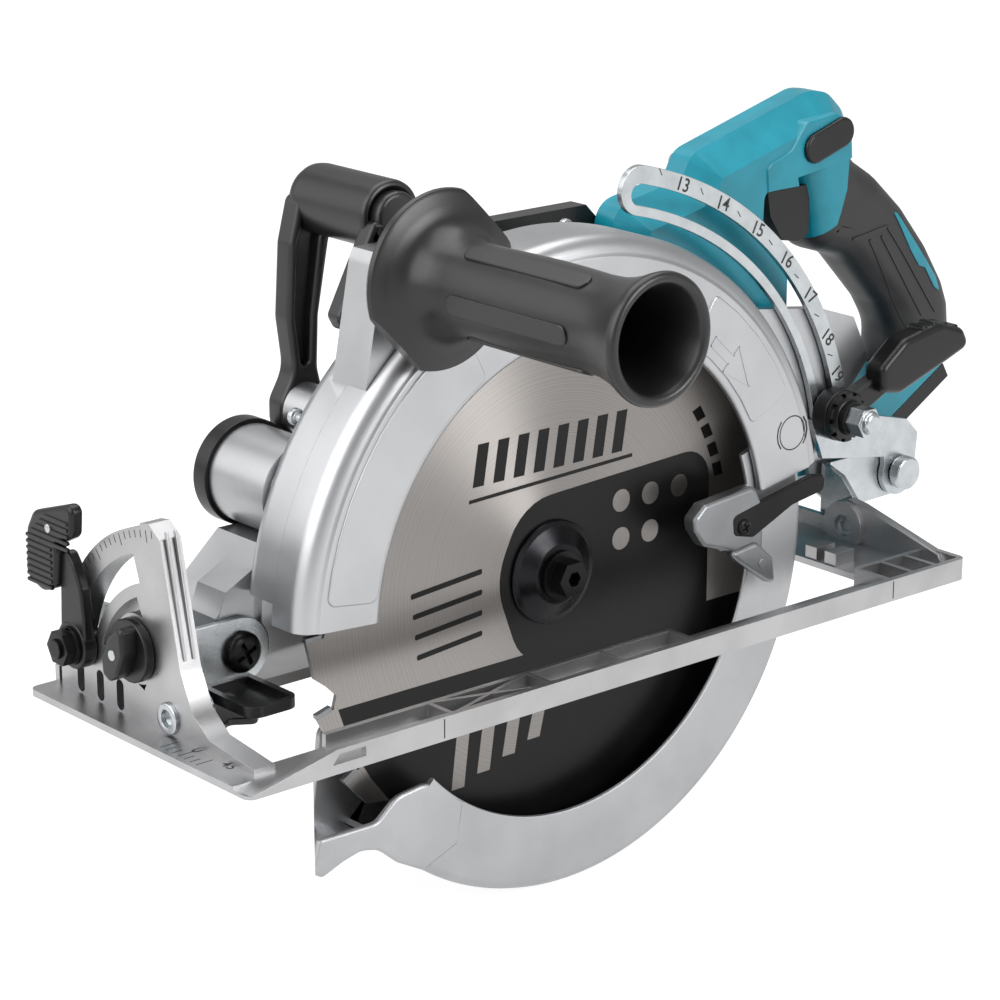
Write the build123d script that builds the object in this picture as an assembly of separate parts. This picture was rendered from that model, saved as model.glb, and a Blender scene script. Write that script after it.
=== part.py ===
from build123d import *
import os
from math import acos, atan2, cos, degrees, hypot, pi, radians, sin, sqrt, tan

# Cordless rear-handle circular saw with a 260 mm blade. Every piece is a solid of its own.
# Millimetres: +X is forward, the way the saw cuts, +Y is the blade side and +Z is up.
# The origin lies on the sole, straight below the spindle, in the blade's middle plane.

# Fits
RUN_FIT = 0.05  # radial play of a shaft, pin or screw in its bore
SEAT_GAP = 0.1  # play of a piece in its seat
MOVE_GAP = 0.5  # room between pieces that pass each other

# Blade, flanges and spindle
BLADE_D = 260.0
BLADE_BORE = 30.0
BLADE_PLATE = 1.8
BLADE_TEETH = 24
GULLET_DEPTH = 12.0
HEEL_DROP = 3.0
HOOK_DEG = 1.0
SLOT_COUNT = 4
SLOT_LENGTH = 22.0
SLOT_WIDTH = 1.6
SLOT_HOLE_D = 6.0
SPINDLE_Z = 33.0
SPINDLE_D = 15.0
FLANGE_D = 45.0
FLANGE_T = 6.0
FLANGE_NECK_D = 26.0
BLADE_BOLT_D = 8.0
BLADE_BOLT_LENGTH = 18.0
BLADE_BOLT_HEAD_D = 21.0
BLADE_BOLT_HEAD_T = 9.0
BLADE_BOLT_AF = 14.0
HEX_SOCKET_AF = 6.0

# Bearings, as bore, outer diameter and width
SPINDLE_NEAR_BEARING = (15.0, 32.0, 9.0)
SPINDLE_FAR_BEARING = (15.0, 35.0, 11.0)
SMALL_BEARING = (8.0, 22.0, 7.0)
ROTOR_BEARING = (10.0, 26.0, 8.0)
TAIL_BEARING = (7.0, 19.0, 6.0)

# Gears: teeth, module and face width
SPINDLE_TEETH = 28
LAY_PINION_TEETH = 20
SLOW_MODULE = 1.5
LAY_GEAR_TEETH = 56
ROTOR_TEETH = 16
FAST_MODULE = 1.25
GEAR_FACE = 10.0
PRESSURE_DEG = 20.0
ADDENDUM = 0.8
DEDENDUM = 1.1
BACKLASH = 0.2

# Blade case and its near cover
CASE_MARGIN = 16.0
CASE_R = BLADE_D / 2 + CASE_MARGIN
CASE_WALL = 6.5
CASE_BACK_T = 3.5
CASE_HALF_FAR = 20.5
COVER_HALF_NEAR = 20.0
COVER_T = 3.2
COVER_OPENING_R = CASE_R - 39.0
RIM_ROUND = 8.0
CASE_FRONT_DEG = 7.0
COVER_FRONT_DEG = 3.6
COVER_REAR_DEG = 170.0
CASE_REAR_DEG = 166.0
CASE_BACK_REAR_DEG = 184.0
CASE_HUB_R = 29.0
HOOD_FAR_Y = -55.0
COVER_SCREW_D = 4.0
COVER_SCREW_HEAD_D = 7.0
COVER_SCREW_DEGS = (36.0, 72.0, 101.0, 130.0)

# Gear housing and motor
NOSE_R = 24.0
NOSE_END_Y = -9.5
GEAR_WALL = 3.5
GEAR_HOUSING_NEAR_WALL = 15.0
GEAR_CASE_R = 27.0
MOTOR_X = -40.0
MOTOR_Z = 99.0
MOTOR_R = 54.0
MOTOR_WALL = 4.0
MOTOR_FLANGE_R = MOTOR_R + 2.0
MOTOR_SCREW_R = MOTOR_R - 5.0
MOTOR_TOP_Z = 168.0
MOTOR_TOP_FRONT_X = -20.0
MOTOR_TOP_REAR_X = -86.0
MOTOR_TOP_FLAT = 10.0
MOTOR_TOP_CORNER = 6.0
BEARING_PLATE_T = 8.0
FAN_ROOM = 16.0
FAN_R = MOTOR_R - 8.0
FAN_T = 9.0
FAN_VANES = 9
STACK_LENGTH = 30.0
ROTOR_R = 23.8
AIR_GAP = 0.7
STATOR_SLOTS = 6
END_WALL = 4.0
MOTOR_SCREW_D = 4.0
LOCK_PIN_R = 1.6
LOCK_TRAVEL = 3.0
LOCK_CAP = 13.0

# Lower guard
GUARD_MARGIN = 6.0
GUARD_R = BLADE_D / 2 + GUARD_MARGIN
GUARD_SHEET = 2.5
GUARD_NEAR_Y = 16.0
GUARD_FAR_Y = -14.3
GUARD_INNER_R = GUARD_R - 33.0
GUARD_FRONT_DEG = -42.0
GUARD_REAR_DEG = -200.0
GUARD_HUB_R = 32.0
LEVER_SEAT_R = GUARD_INNER_R - 19.0
LEVER_SCREW_D = 4.0
LEVER_SCREW_HEAD_R = 3.6
LEVER_SCREW_HEAD_T = 1.6
LEVER_X = 12.0 - GUARD_INNER_R
LEVER_Z = SPINDLE_Z + 6.0
LEVER_T = 8.0
WING_T = 2.5

# Base plate
BASE_FRONT = CASE_R + 54.0
BASE_REAR = -CASE_R - 54.0
BASE_NEAR = 57.0
BASE_FAR = -93.0
FLOOR_T = 3.0
WALL_T = 3.0
WALL_H = 10.0
OPEN_FRONT = BASE_FRONT - 24.5
OPEN_REAR = BASE_REAR + 40.0
OPEN_FAR = -34.0
BAR_INNER = 37.0
LIP_DEPTH = 13.0
RIB_T = 2.4
RIB_REAR_X = -35.0
RIB_FRONT_X = BASE_FRONT - 50.0

# Bevel: pivot axis along X, clamp arc in the front plate
BEVEL_Y = -12.0
BEVEL_Z = 10.0
BEVEL_PIN_D = 10.0
BEVEL_PLATE_T = 10.0
BEVEL_ARC_R = 76.0
BEVEL_SLOT_R = 60.0
BEVEL_SLOT_W = 12.0
BEVEL_BOLT_DEG = 164.5
BEVEL_SLOT_END_DEG = 109.0
BEVEL_BOLT_D = 8.0
BEVEL_BRACKET_T = 3.0
EYE_R = 9.0
LUG_T = 8.0
KNOB_Y = -33.0
KNOB_Z = 33.0
KNOB_D = 26.0
KNOB_T = 12.0
KNOB_PIN_R = 4.0
BEVEL_LEVER_T = 7.0
BEVEL_NUT_T = 6.5
BEVEL_NUT_AF = 13.0
BRACKET_LEG_NEAR_Y = -16.5
BRACKET_EYE_R = 14.0

# Depth: pivot F at the front, guide pin P at the rear, clamp bolt B on the saw
DEPTH_X = BASE_FRONT - 51.0
DEPTH_Z = 27.5
DEPTH_SCREW_D = 10.0
PIN_X = BASE_REAR - 47.5
PIN_Z = 22.0
PIN_D = 10.0
PIN_HEAD_R = 8.0
CLAMP_X = BASE_REAR + 3.0
CLAMP_Z = 60.5
CLAMP_BOLT_D = 8.0
DEPTH_MAX_DEG = 28.0
GUIDE_RATIO = 0.642
GUIDE_NEAR_Y = -28.0
GUIDE_T = 3.0
GUIDE_SLOT_W = 9.4
GUIDE_OUTER_BAND = 8.0
GUIDE_INNER_BAND = 4.5
GUIDE_STEPS = 14
REAR_ARM_T = 6.0
DEPTH_LEVER_T = 9.0
DEPTH_COLLAR_T = 8.0
DEPTH_NUT_T = 12.0

# Grips, placed round the spindle by reach and angle
SIDE_GRIP_REACH = CASE_R + 20.71
SIDE_GRIP_DEG = 59.744
SIDE_GRIP_X = SIDE_GRIP_REACH * cos(radians(SIDE_GRIP_DEG))
SIDE_GRIP_Z = SPINDLE_Z + SIDE_GRIP_REACH * sin(radians(SIDE_GRIP_DEG))
SIDE_DISC_Y = 28.0
SIDE_DISC_R = 36.0
SIDE_DISC_T = 6.0
SIDE_DISC_FLAT = 31.5
SIDE_DISC_FLAT_DEG = 136.0
SIDE_GRIP_R = 18.0
SIDE_GRIP_END_Y = 155.0
SIDE_GRIP_END_R = 25.0
SIDE_BORE_R = 14.0
SIDE_BORE_DEPTH = 85.0
STUD_D = 10.0
BOSS_R = 14.0
BOSS_RISE = 8.0
BOSS_NEAR_Y = 12.0
BOSS_FAR_Y = -9.0
LOOP_X = SIDE_GRIP_X - 12.0
LOOP_Z = SIDE_GRIP_Z + 16.0
LOOP_R = 14.5
LOOP_BORE_R = 10.5
LOOP_NEAR_Y = -14.0
LOOP_LEG_Y = -55.0
LOOP_LEG_T = 11.0
LOOP_FOOT_R = 11.0
LOOP_BOLT_D = 6.0

# Dust port
DUST_X = CASE_R - 32.0
DUST_Z = SPINDLE_Z + 53.0
DUST_R = 20.5
DUST_BORE_R = 17.0
DUST_END_Y = -64.0
DUST_RING_T = 1.8
DUST_RING_W = 8.5
LOOP_FOOT_X = DUST_X - 28.0
LOOP_FOOT_Z = DUST_Z + 22.0

# Rear handle
HANDLE_Y = -60.0
HANDLE_HALF = 18.0
HANDLE_WALL = 3.0
OVERMOULD_T = 2.0
TRIGGER_W = 24.0
TRIGGER_TRAVEL = 6.0
TRIGGER_STEM_R = 4.0
LOCK_LENGTH = 32.0
LOCK_W = 14.0
LOCK_X = -205.0
LOCK_Z = 185.0
LOCK_TILT_DEG = -17.0
LOCK_PROUD = 1.5
SHELL_SCREW_D = 4.0
SHELL_BOSS_D = 10.0
SHELL_SCREW_PLACES = [(-140.0, 179.0), (-118.0, 120.0), (-150.0, 24.0), (-216.0, 172.0), (-282.0, 88.0)]

# Places worked out from the sizes above
FLANGE_FAR_Y = -BLADE_PLATE / 2 - FLANGE_T
FLANGE_NEAR_Y = BLADE_PLATE / 2 + FLANGE_T
GEAR_NEAR_Y = -CASE_HALF_FAR
LOCK_PIN_Y = GEAR_NEAR_Y - LOCK_PIN_R - 0.3
SPINDLE_GEAR_Y = GEAR_NEAR_Y - GEAR_HOUSING_NEAR_WALL - 1.0
LAY_GEAR_Y = SPINDLE_GEAR_Y - GEAR_FACE - 1.5
GEAR_FAR_Y = LAY_GEAR_Y - GEAR_FACE - 1.0
PLATE_FAR_Y = GEAR_FAR_Y - BEARING_PLATE_T
STACK_NEAR_Y = PLATE_FAR_Y - FAN_ROOM
STACK_FAR_Y = STACK_NEAR_Y - STACK_LENGTH
TAIL_NEAR_Y = STACK_FAR_Y - 2.0
MOTOR_FAR_Y = TAIL_NEAR_Y - TAIL_BEARING[2] - END_WALL
SLOW_CENTRES = SLOW_MODULE * (SPINDLE_TEETH + LAY_PINION_TEETH) / 2
FAST_CENTRES = FAST_MODULE * (LAY_GEAR_TEETH + ROTOR_TEETH) / 2
BEVEL_FACE_X = BASE_FRONT - LIP_DEPTH
BEVEL_BACK_X = BEVEL_FACE_X - BEVEL_PLATE_T
BRACKET_FRONT_X = BEVEL_BACK_X - 3.0
BRACKET_BACK_X = BRACKET_FRONT_X - BEVEL_BRACKET_T
CLAMP_Y_AT = BEVEL_Y + BEVEL_SLOT_R * cos(radians(BEVEL_BOLT_DEG))
CLAMP_Z_AT = BEVEL_Z + BEVEL_SLOT_R * sin(radians(BEVEL_BOLT_DEG))
GUIDE_FAR_Y = GUIDE_NEAR_Y - GUIDE_T
REAR_ARM_Y = GUIDE_FAR_Y - MOVE_GAP
BRACKET_LEG_FAR_Y = BRACKET_LEG_NEAR_Y - BEVEL_BRACKET_T
REAR_BRACKET_X = BASE_REAR - MOVE_GAP
REAR_LEG_NEAR_Y = GUIDE_FAR_Y - MOVE_GAP
REAR_LEG_FAR_Y = REAR_LEG_NEAR_Y - BEVEL_BRACKET_T
DEPTH_LEVER_Y = GUIDE_NEAR_Y + 0.4
DEPTH_COLLAR_Y = DEPTH_LEVER_Y + DEPTH_LEVER_T
DEPTH_NUT_Y = DEPTH_COLLAR_Y + DEPTH_COLLAR_T
HANDLE_NEAR_Y = HANDLE_Y + HANDLE_HALF
HANDLE_FAR_Y = HANDLE_Y - HANDLE_HALF

# Rear handle's side outlines, in x and z
UNDERSIDE_REAR = (-303, 58)
UNDERSIDE_FRONT = (-258, 32)
HANDLE_OUTLINE = [
    (-84, 168), (-126, 176), (-131, 186), (-204, 206), (-217, 204), (-229, 193), (-231, 175), (-247, 162),
    (-266, 145), (-284, 124), (-296, 106), (-301, 94), (-303, 76), UNDERSIDE_REAR, UNDERSIDE_FRONT,
    (-256, 16), (-245, 9), (-215, 14), (-104, 17), (-84, 60),
]
HAND_HOLE = [
    (-190, 66), (-182, 72), (-182, 126), (-165, 146), (-166, 166), (-194, 166), (-203, 146), (-206, 132),
    (-228, 125), (-254, 98), (-263, 84), (-267, 70),
]
GRIP_ZONE = [
    (-240, 178), (-221, 177), (-219.5, 160), (-214, 144), (-203, 137), (-203, 118), (-275, 58), (-340, 84),
    (-340, 178),
]
TRIGGER_OUTLINE = [(-174, 164), (-176, 152), (-184, 140), (-195, 138), (-201.5, 141), (-201.5, 164)]
TRIGGER_SLOT = ((-213, -180), (136.5, 165.5))
TRIGGER_STEM_Z = 153.0
SWITCH_BOX = ((-236, -216), (143, 161))
CONTROLLER_BOX = ((-176, -122), (30, 96))
TERMINAL_LENGTH = 44.0
TERMINAL_RECESS = 8.5


def polar(radius, angle):
    return (radius * cos(radians(angle)), radius * sin(radians(angle)))


def at_spindle(radius, angle):
    """A point in x and z at a radius and an angle round the spindle."""
    x, z = polar(radius, angle)
    return (x, z + SPINDLE_Z)


def outline(*points):
    """A flat face from its corner points."""
    return make_face(Polyline(*points, close=True))


def across_y(sketch, y0, y1):
    """A face drawn in x and z, made solid from y0 to y1."""
    return extrude(Plane.XZ.offset(-y1) * sketch, amount=y1 - y0)


def along_x(sketch, x0, x1):
    """A face drawn in y and z, made solid from x0 to x1."""
    return extrude(Plane.YZ.offset(x0) * sketch, amount=x1 - x0)


def block(x0, x1, y0, y1, z0, z1):
    middle = Pos((x0 + x1) / 2, (y0 + y1) / 2, (z0 + z1) / 2)
    return middle * Box(x1 - x0, y1 - y0, z1 - z0)


def rod_y(radius, y0, y1, x, z):
    return Pos(x, (y0 + y1) / 2, z) * Rot(90, 0, 0) * Cylinder(radius, y1 - y0)


def rod_x(radius, x0, x1, y, z):
    return Pos((x0 + x1) / 2, y, z) * Rot(0, 90, 0) * Cylinder(radius, x1 - x0)


def turned(points, x, z):
    """A round piece about an axis along Y, from its half section in radius and y."""
    return Pos(x, 0, z) * revolve(outline(*points), Axis.Y)


def ring_part(section, start, end):
    """A half section in radius and y, swung about the spindle from one angle to the other."""
    return Pos(0, 0, SPINDLE_Z) * Rot(0, -end, 0) * revolve(section, Axis.Y, end - start)


def ring_sector(inner, outer, start, end):
    """A flat piece of a ring between two angles."""
    far = CenterArc((0, 0), outer, start, end - start)
    near = CenterArc((0, 0), inner, start, end - start)
    return make_face([far, near, Line(far @ 0, near @ 0), Line(far @ 1, near @ 1)])


def wedge(radius, start, end):
    """A flat slice of a disc between two angles."""
    arc = CenterArc((0, 0), radius, start, end - start)
    return make_face([arc, Line((0, 0), arc @ 0), Line((0, 0), arc @ 1)])


def hex_y(across_flats, y0, y1, x, z):
    face = Pos(x, z) * RegularPolygon(across_flats / sqrt(3), 6)
    return across_y(face, y0, y1)


def bearing(sizes, y0, x, z):
    """A sealed ball bearing: one ring with a shallow step for the shield on each face."""
    bore, outer, width = sizes
    inner_r = bore / 2 + RUN_FIT
    outer_r = outer / 2
    lip = (outer_r - inner_r) * 0.28
    step = width * 0.06
    section = [
        (inner_r, y0), (inner_r + lip, y0), (inner_r + lip, y0 + step), (outer_r - lip, y0 + step),
        (outer_r - lip, y0), (outer_r, y0), (outer_r, y0 + width), (outer_r - lip, y0 + width),
        (outer_r - lip, y0 + width - step), (inner_r + lip, y0 + width - step), (inner_r + lip, y0 + width),
        (inner_r, y0 + width),
    ]
    return turned(section, x, z)


def gear_face(teeth, module, tooth_at):
    """A spur gear's outline with involute flanks and one tooth centred on the angle tooth_at."""
    pitch_r = module * teeth / 2
    base_r = pitch_r * cos(radians(PRESSURE_DEG))
    radii = [pitch_r - DEDENDUM * module, base_r, pitch_r, pitch_r + ADDENDUM * module]
    half_at_pitch = pi / (2 * teeth) - BACKLASH / (2 * pitch_r)
    involute_at_pitch = tan(radians(PRESSURE_DEG)) - radians(PRESSURE_DEG)
    flank = []
    for radius in sorted(radii):
        turn = acos(min(1.0, base_r / radius))
        flank.append((radius, degrees(half_at_pitch + involute_at_pitch - tan(turn) + turn)))
    points = []
    for tooth in range(teeth):
        centre = tooth_at + 360 * tooth / teeth
        points += [polar(radius, centre - half) for radius, half in flank]
        points += [polar(radius, centre + half) for radius, half in reversed(flank)]
    return outline(*points)


def lay_shaft_place():
    """Centre of the intermediate shaft: on both gear pairs' centre distances, on the front side."""
    dx, dz = MOTOR_X, MOTOR_Z - SPINDLE_Z
    reach = hypot(dx, dz)
    along = (SLOW_CENTRES**2 - FAST_CENTRES**2 + reach**2) / (2 * reach)
    aside = sqrt(SLOW_CENTRES**2 - along**2)
    ux, uz = dx / reach, dz / reach
    return (along * ux + aside * uz, SPINDLE_Z + along * uz - aside * ux)


LAY_X, LAY_Z = lay_shaft_place()
SLOW_DEG = degrees(atan2(LAY_Z - SPINDLE_Z, LAY_X))
FAST_DEG = degrees(atan2(MOTOR_Z - LAY_Z, MOTOR_X - LAY_X))


# Blade group: everything that turns with the spindle
def blade():
    pitch = 360 / BLADE_TEETH
    tip_r = BLADE_D / 2
    points = []
    for tooth in range(BLADE_TEETH):
        angle = tooth * pitch
        points.append(polar(tip_r - HEEL_DROP, angle - 0.55 * pitch))
        points.append(polar(tip_r, angle))
        points.append(polar(tip_r - 0.75 * GULLET_DEPTH, angle - HOOK_DEG))
        points.append(polar(tip_r - GULLET_DEPTH, angle + 0.1 * pitch))
        points.append(polar(tip_r - 0.75 * GULLET_DEPTH, angle + 0.25 * pitch))
    face = outline(*points) - Circle(BLADE_BORE / 2)
    slot_end_r = tip_r - GULLET_DEPTH - SLOT_LENGTH
    for slot in range(SLOT_COUNT):
        turn = Rot(0, 0, 360 * slot / SLOT_COUNT + 0.1 * pitch)
        face -= turn * Pos(slot_end_r + SLOT_LENGTH / 2 + 1, 0) * Rectangle(SLOT_LENGTH + 2, SLOT_WIDTH)
        face -= turn * Pos(slot_end_r, 0) * Circle(SLOT_HOLE_D / 2)
    return across_y(Pos(0, SPINDLE_Z) * face, -BLADE_PLATE / 2, BLADE_PLATE / 2)


def inner_flange():
    bore = SPINDLE_D / 2 + RUN_FIT
    half = BLADE_PLATE / 2
    pilot = BLADE_BORE / 2 - RUN_FIT
    section = [
        (bore, FLANGE_FAR_Y), (FLANGE_NECK_D / 2, FLANGE_FAR_Y), (FLANGE_D / 2, -half - 2.0),
        (FLANGE_D / 2, -half), (pilot, -half), (pilot, half - 0.2), (bore, half - 0.2),
    ]
    return turned(section, 0, SPINDLE_Z)


def outer_flange():
    bore = BLADE_BOLT_D / 2 + SEAT_GAP
    half = BLADE_PLATE / 2
    section = [
        (bore, half), (FLANGE_D / 2, half), (FLANGE_D / 2, half + 1.6), (FLANGE_D / 2 - 2.5, half + 2.2),
        (FLANGE_NECK_D / 2, FLANGE_NEAR_Y), (bore, FLANGE_NEAR_Y),
    ]
    return turned(section, 0, SPINDLE_Z)


def blade_bolt():
    head_end = FLANGE_NEAR_Y + BLADE_BOLT_HEAD_T
    washer_end = FLANGE_NEAR_Y + 2.0
    bolt = rod_y(BLADE_BOLT_D / 2, FLANGE_NEAR_Y - BLADE_BOLT_LENGTH, FLANGE_NEAR_Y, 0, SPINDLE_Z)
    bolt += rod_y(BLADE_BOLT_HEAD_D / 2, FLANGE_NEAR_Y, washer_end, 0, SPINDLE_Z)
    bolt += hex_y(BLADE_BOLT_AF, washer_end, head_end, 0, SPINDLE_Z)
    return bolt - hex_y(HEX_SOCKET_AF, head_end - 5.0, head_end + 1.0, 0, SPINDLE_Z)


def spindle():
    near_end = BLADE_PLATE / 2 - 0.4
    far_end = SPINDLE_GEAR_Y - GEAR_FACE
    bolt_end = FLANGE_NEAR_Y - BLADE_BOLT_LENGTH
    shaft = rod_y(SPINDLE_D / 2, far_end, near_end, 0, SPINDLE_Z)
    return shaft - rod_y(BLADE_BOLT_D / 2 + RUN_FIT, bolt_end - 1.0, near_end + 1.0, 0, SPINDLE_Z)


def spindle_gear():
    face = gear_face(SPINDLE_TEETH, SLOW_MODULE, SLOW_DEG) - Circle(SPINDLE_D / 2 + RUN_FIT)
    return across_y(Pos(0, SPINDLE_Z) * face, SPINDLE_GEAR_Y - GEAR_FACE, SPINDLE_GEAR_Y)


# Intermediate shaft between the rotor and the spindle
def lay_shaft():
    """Shaft with the small gear cut into it."""
    near_end = GEAR_NEAR_Y - GEAR_HOUSING_NEAR_WALL + SMALL_BEARING[2]
    far_end = GEAR_FAR_Y - SMALL_BEARING[2]
    gap_at = SLOW_DEG + 180 + 180 / LAY_PINION_TEETH
    pinion = Pos(LAY_X, LAY_Z) * gear_face(LAY_PINION_TEETH, SLOW_MODULE, gap_at)
    shaft = rod_y(SMALL_BEARING[0] / 2, far_end, near_end, LAY_X, LAY_Z)
    return shaft + across_y(pinion, SPINDLE_GEAR_Y - GEAR_FACE, SPINDLE_GEAR_Y)


def lay_gear():
    face = gear_face(LAY_GEAR_TEETH, FAST_MODULE, FAST_DEG) - Circle(SMALL_BEARING[0] / 2 + RUN_FIT)
    for hole in range(6):
        face -= Rot(0, 0, 60 * hole) * Pos(LAY_GEAR_TEETH * FAST_MODULE * 0.3, 0) * Circle(5)
    return across_y(Pos(LAY_X, LAY_Z) * face, LAY_GEAR_Y - GEAR_FACE, LAY_GEAR_Y)


# Rotor group
def rotor_shaft():
    """Shaft with the motor's pinion cut into its end."""
    neck_y = TAIL_NEAR_Y + 1.0
    gap_at = FAST_DEG + 180 + 180 / ROTOR_TEETH
    pinion = Pos(MOTOR_X, MOTOR_Z) * gear_face(ROTOR_TEETH, FAST_MODULE, gap_at)
    shaft = rod_y(ROTOR_BEARING[0] / 2, neck_y, LAY_GEAR_Y - GEAR_FACE + 1, MOTOR_X, MOTOR_Z)
    shaft += across_y(pinion, LAY_GEAR_Y - GEAR_FACE, LAY_GEAR_Y)
    tail_end = TAIL_NEAR_Y - TAIL_BEARING[2]
    return shaft + rod_y(TAIL_BEARING[0] / 2, tail_end, neck_y, MOTOR_X, MOTOR_Z)


def rotor_core():
    face = Circle(ROTOR_R) - Circle(ROTOR_BEARING[0] / 2 + RUN_FIT)
    return across_y(Pos(MOTOR_X, MOTOR_Z) * face, STACK_FAR_Y, STACK_NEAR_Y)


def cooling_fan():
    near = PLATE_FAR_Y - 2.5
    hub = Circle(15) - Circle(ROTOR_BEARING[0] / 2 + RUN_FIT)
    disc = Circle(FAN_R) - Circle(ROTOR_BEARING[0] / 2 + RUN_FIT)
    fan = across_y(Pos(MOTOR_X, MOTOR_Z) * hub, near - FAN_T, near)
    fan += across_y(Pos(MOTOR_X, MOTOR_Z) * disc, near - FAN_T, near - FAN_T + 2.0)
    vane = Pos((FAN_R - 1 + 12) / 2, 0) * Rectangle(FAN_R - 1 - 12, 1.8)
    vanes = Sketch() + [Rot(0, 0, 360 * n / FAN_VANES) * vane for n in range(FAN_VANES)]
    return fan + across_y(Pos(MOTOR_X, MOTOR_Z) * vanes, near - FAN_T + 1.0, near)


# Saw body: gear housing, bearing plate, motor
def housing_hull(shrink):
    """Outline round the spindle gear, the intermediate gear and the motor, drawn in by shrink."""
    lay_r = FAST_MODULE * LAY_GEAR_TEETH / 2 + ADDENDUM * FAST_MODULE + GEAR_WALL + 1.5
    circles = [
        Pos(0, SPINDLE_Z) * Circle(GEAR_CASE_R - shrink),
        Pos(LAY_X, LAY_Z) * Circle(lay_r - shrink),
        Pos(MOTOR_X, MOTOR_Z) * Circle(MOTOR_FLANGE_R - shrink),
    ]
    return make_hull([edge for circle in circles for edge in circle.edges()])


def motor_screw_places():
    """Three screws round the motor's flange, clear of the gear train."""
    places = [polar(MOTOR_SCREW_R, angle) for angle in (60, 135, 205)]
    return [(MOTOR_X + x, MOTOR_Z + z) for x, z in places]


def gear_housing():
    wall_end = GEAR_NEAR_Y - GEAR_HOUSING_NEAR_WALL
    housing = across_y(housing_hull(0), GEAR_FAR_Y, GEAR_NEAR_Y)
    housing += rod_y(NOSE_R, GEAR_NEAR_Y, NOSE_END_Y, 0, SPINDLE_Z)
    room = across_y(housing_hull(GEAR_WALL), GEAR_FAR_Y - 1, wall_end)
    for x, z in motor_screw_places():
        room -= rod_y(MOTOR_SCREW_D / 2 + 3.0, GEAR_FAR_Y - 1, wall_end, x, z)
    housing -= room
    near_bore, near_outer, near_width = SPINDLE_NEAR_BEARING
    near_seat = NOSE_END_Y - 1.0 - near_width
    housing -= rod_y(near_outer / 2 + SEAT_GAP / 2, near_seat, near_seat + near_width, 0, SPINDLE_Z)
    far_seat = wall_end + SPINDLE_FAR_BEARING[2]
    housing -= rod_y(SPINDLE_FAR_BEARING[1] / 2 + SEAT_GAP / 2, wall_end, far_seat, 0, SPINDLE_Z)
    housing -= rod_y(SPINDLE_D / 2 + 1.5, wall_end, NOSE_END_Y + 1, 0, SPINDLE_Z)
    lay_seat = wall_end + SMALL_BEARING[2]
    housing -= rod_y(SMALL_BEARING[1] / 2 + SEAT_GAP / 2, wall_end, lay_seat, LAY_X, LAY_Z)
    housing -= rod_x(LOCK_PIN_R + RUN_FIT, SPINDLE_D / 2, GEAR_CASE_R + 40, LOCK_PIN_Y, SPINDLE_Z)
    for x, z in motor_screw_places():
        housing -= rod_y(MOTOR_SCREW_D / 2 + RUN_FIT, GEAR_FAR_Y - 1, GEAR_FAR_Y + 12, x, z)
    return housing


def spindle_bearings():
    near_seat = NOSE_END_Y - 1.0 - SPINDLE_NEAR_BEARING[2]
    near = bearing(SPINDLE_NEAR_BEARING, near_seat, 0, SPINDLE_Z)
    far = bearing(SPINDLE_FAR_BEARING, GEAR_NEAR_Y - GEAR_HOUSING_NEAR_WALL, 0, SPINDLE_Z)
    return Compound([near, far])


def lay_bearings():
    near = bearing(SMALL_BEARING, GEAR_NEAR_Y - GEAR_HOUSING_NEAR_WALL, LAY_X, LAY_Z)
    far = bearing(SMALL_BEARING, GEAR_FAR_Y - SMALL_BEARING[2], LAY_X, LAY_Z)
    return Compound([near, far])


def rotor_bearings():
    near = bearing(ROTOR_BEARING, PLATE_FAR_Y, MOTOR_X, MOTOR_Z)
    tail = bearing(TAIL_BEARING, TAIL_NEAR_Y - TAIL_BEARING[2], MOTOR_X, MOTOR_Z)
    return Compound([near, tail])


def shaft_lock():
    """A sprung pin in the housing's front that meets the spindle."""
    back = GEAR_CASE_R + 4.0 + LOCK_TRAVEL
    tip = SPINDLE_D / 2 + MOVE_GAP + LOCK_TRAVEL
    cap_near = GEAR_NEAR_Y - MOVE_GAP
    pin = rod_x(LOCK_PIN_R, tip, back + 1, LOCK_PIN_Y, SPINDLE_Z)
    low, high = SPINDLE_Z - LOCK_CAP / 2, SPINDLE_Z + LOCK_CAP / 2
    return pin + block(back, back + 5.0, cap_near - LOCK_CAP, cap_near, low, high)


def bearing_plate():
    plate = across_y(housing_hull(0), PLATE_FAR_Y, GEAR_FAR_Y)
    lay_seat = GEAR_FAR_Y - SMALL_BEARING[2]
    plate -= rod_y(SMALL_BEARING[1] / 2 + SEAT_GAP / 2, lay_seat, GEAR_FAR_Y + 1, LAY_X, LAY_Z)
    plate -= rod_y(ROTOR_BEARING[1] / 2 + SEAT_GAP / 2, PLATE_FAR_Y - 1, GEAR_FAR_Y + 1, MOTOR_X, MOTOR_Z)
    for x, z in motor_screw_places():
        plate -= rod_y(MOTOR_SCREW_D / 2 + RUN_FIT, PLATE_FAR_Y - 1, GEAR_FAR_Y + 1, x, z)
    return plate


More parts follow.
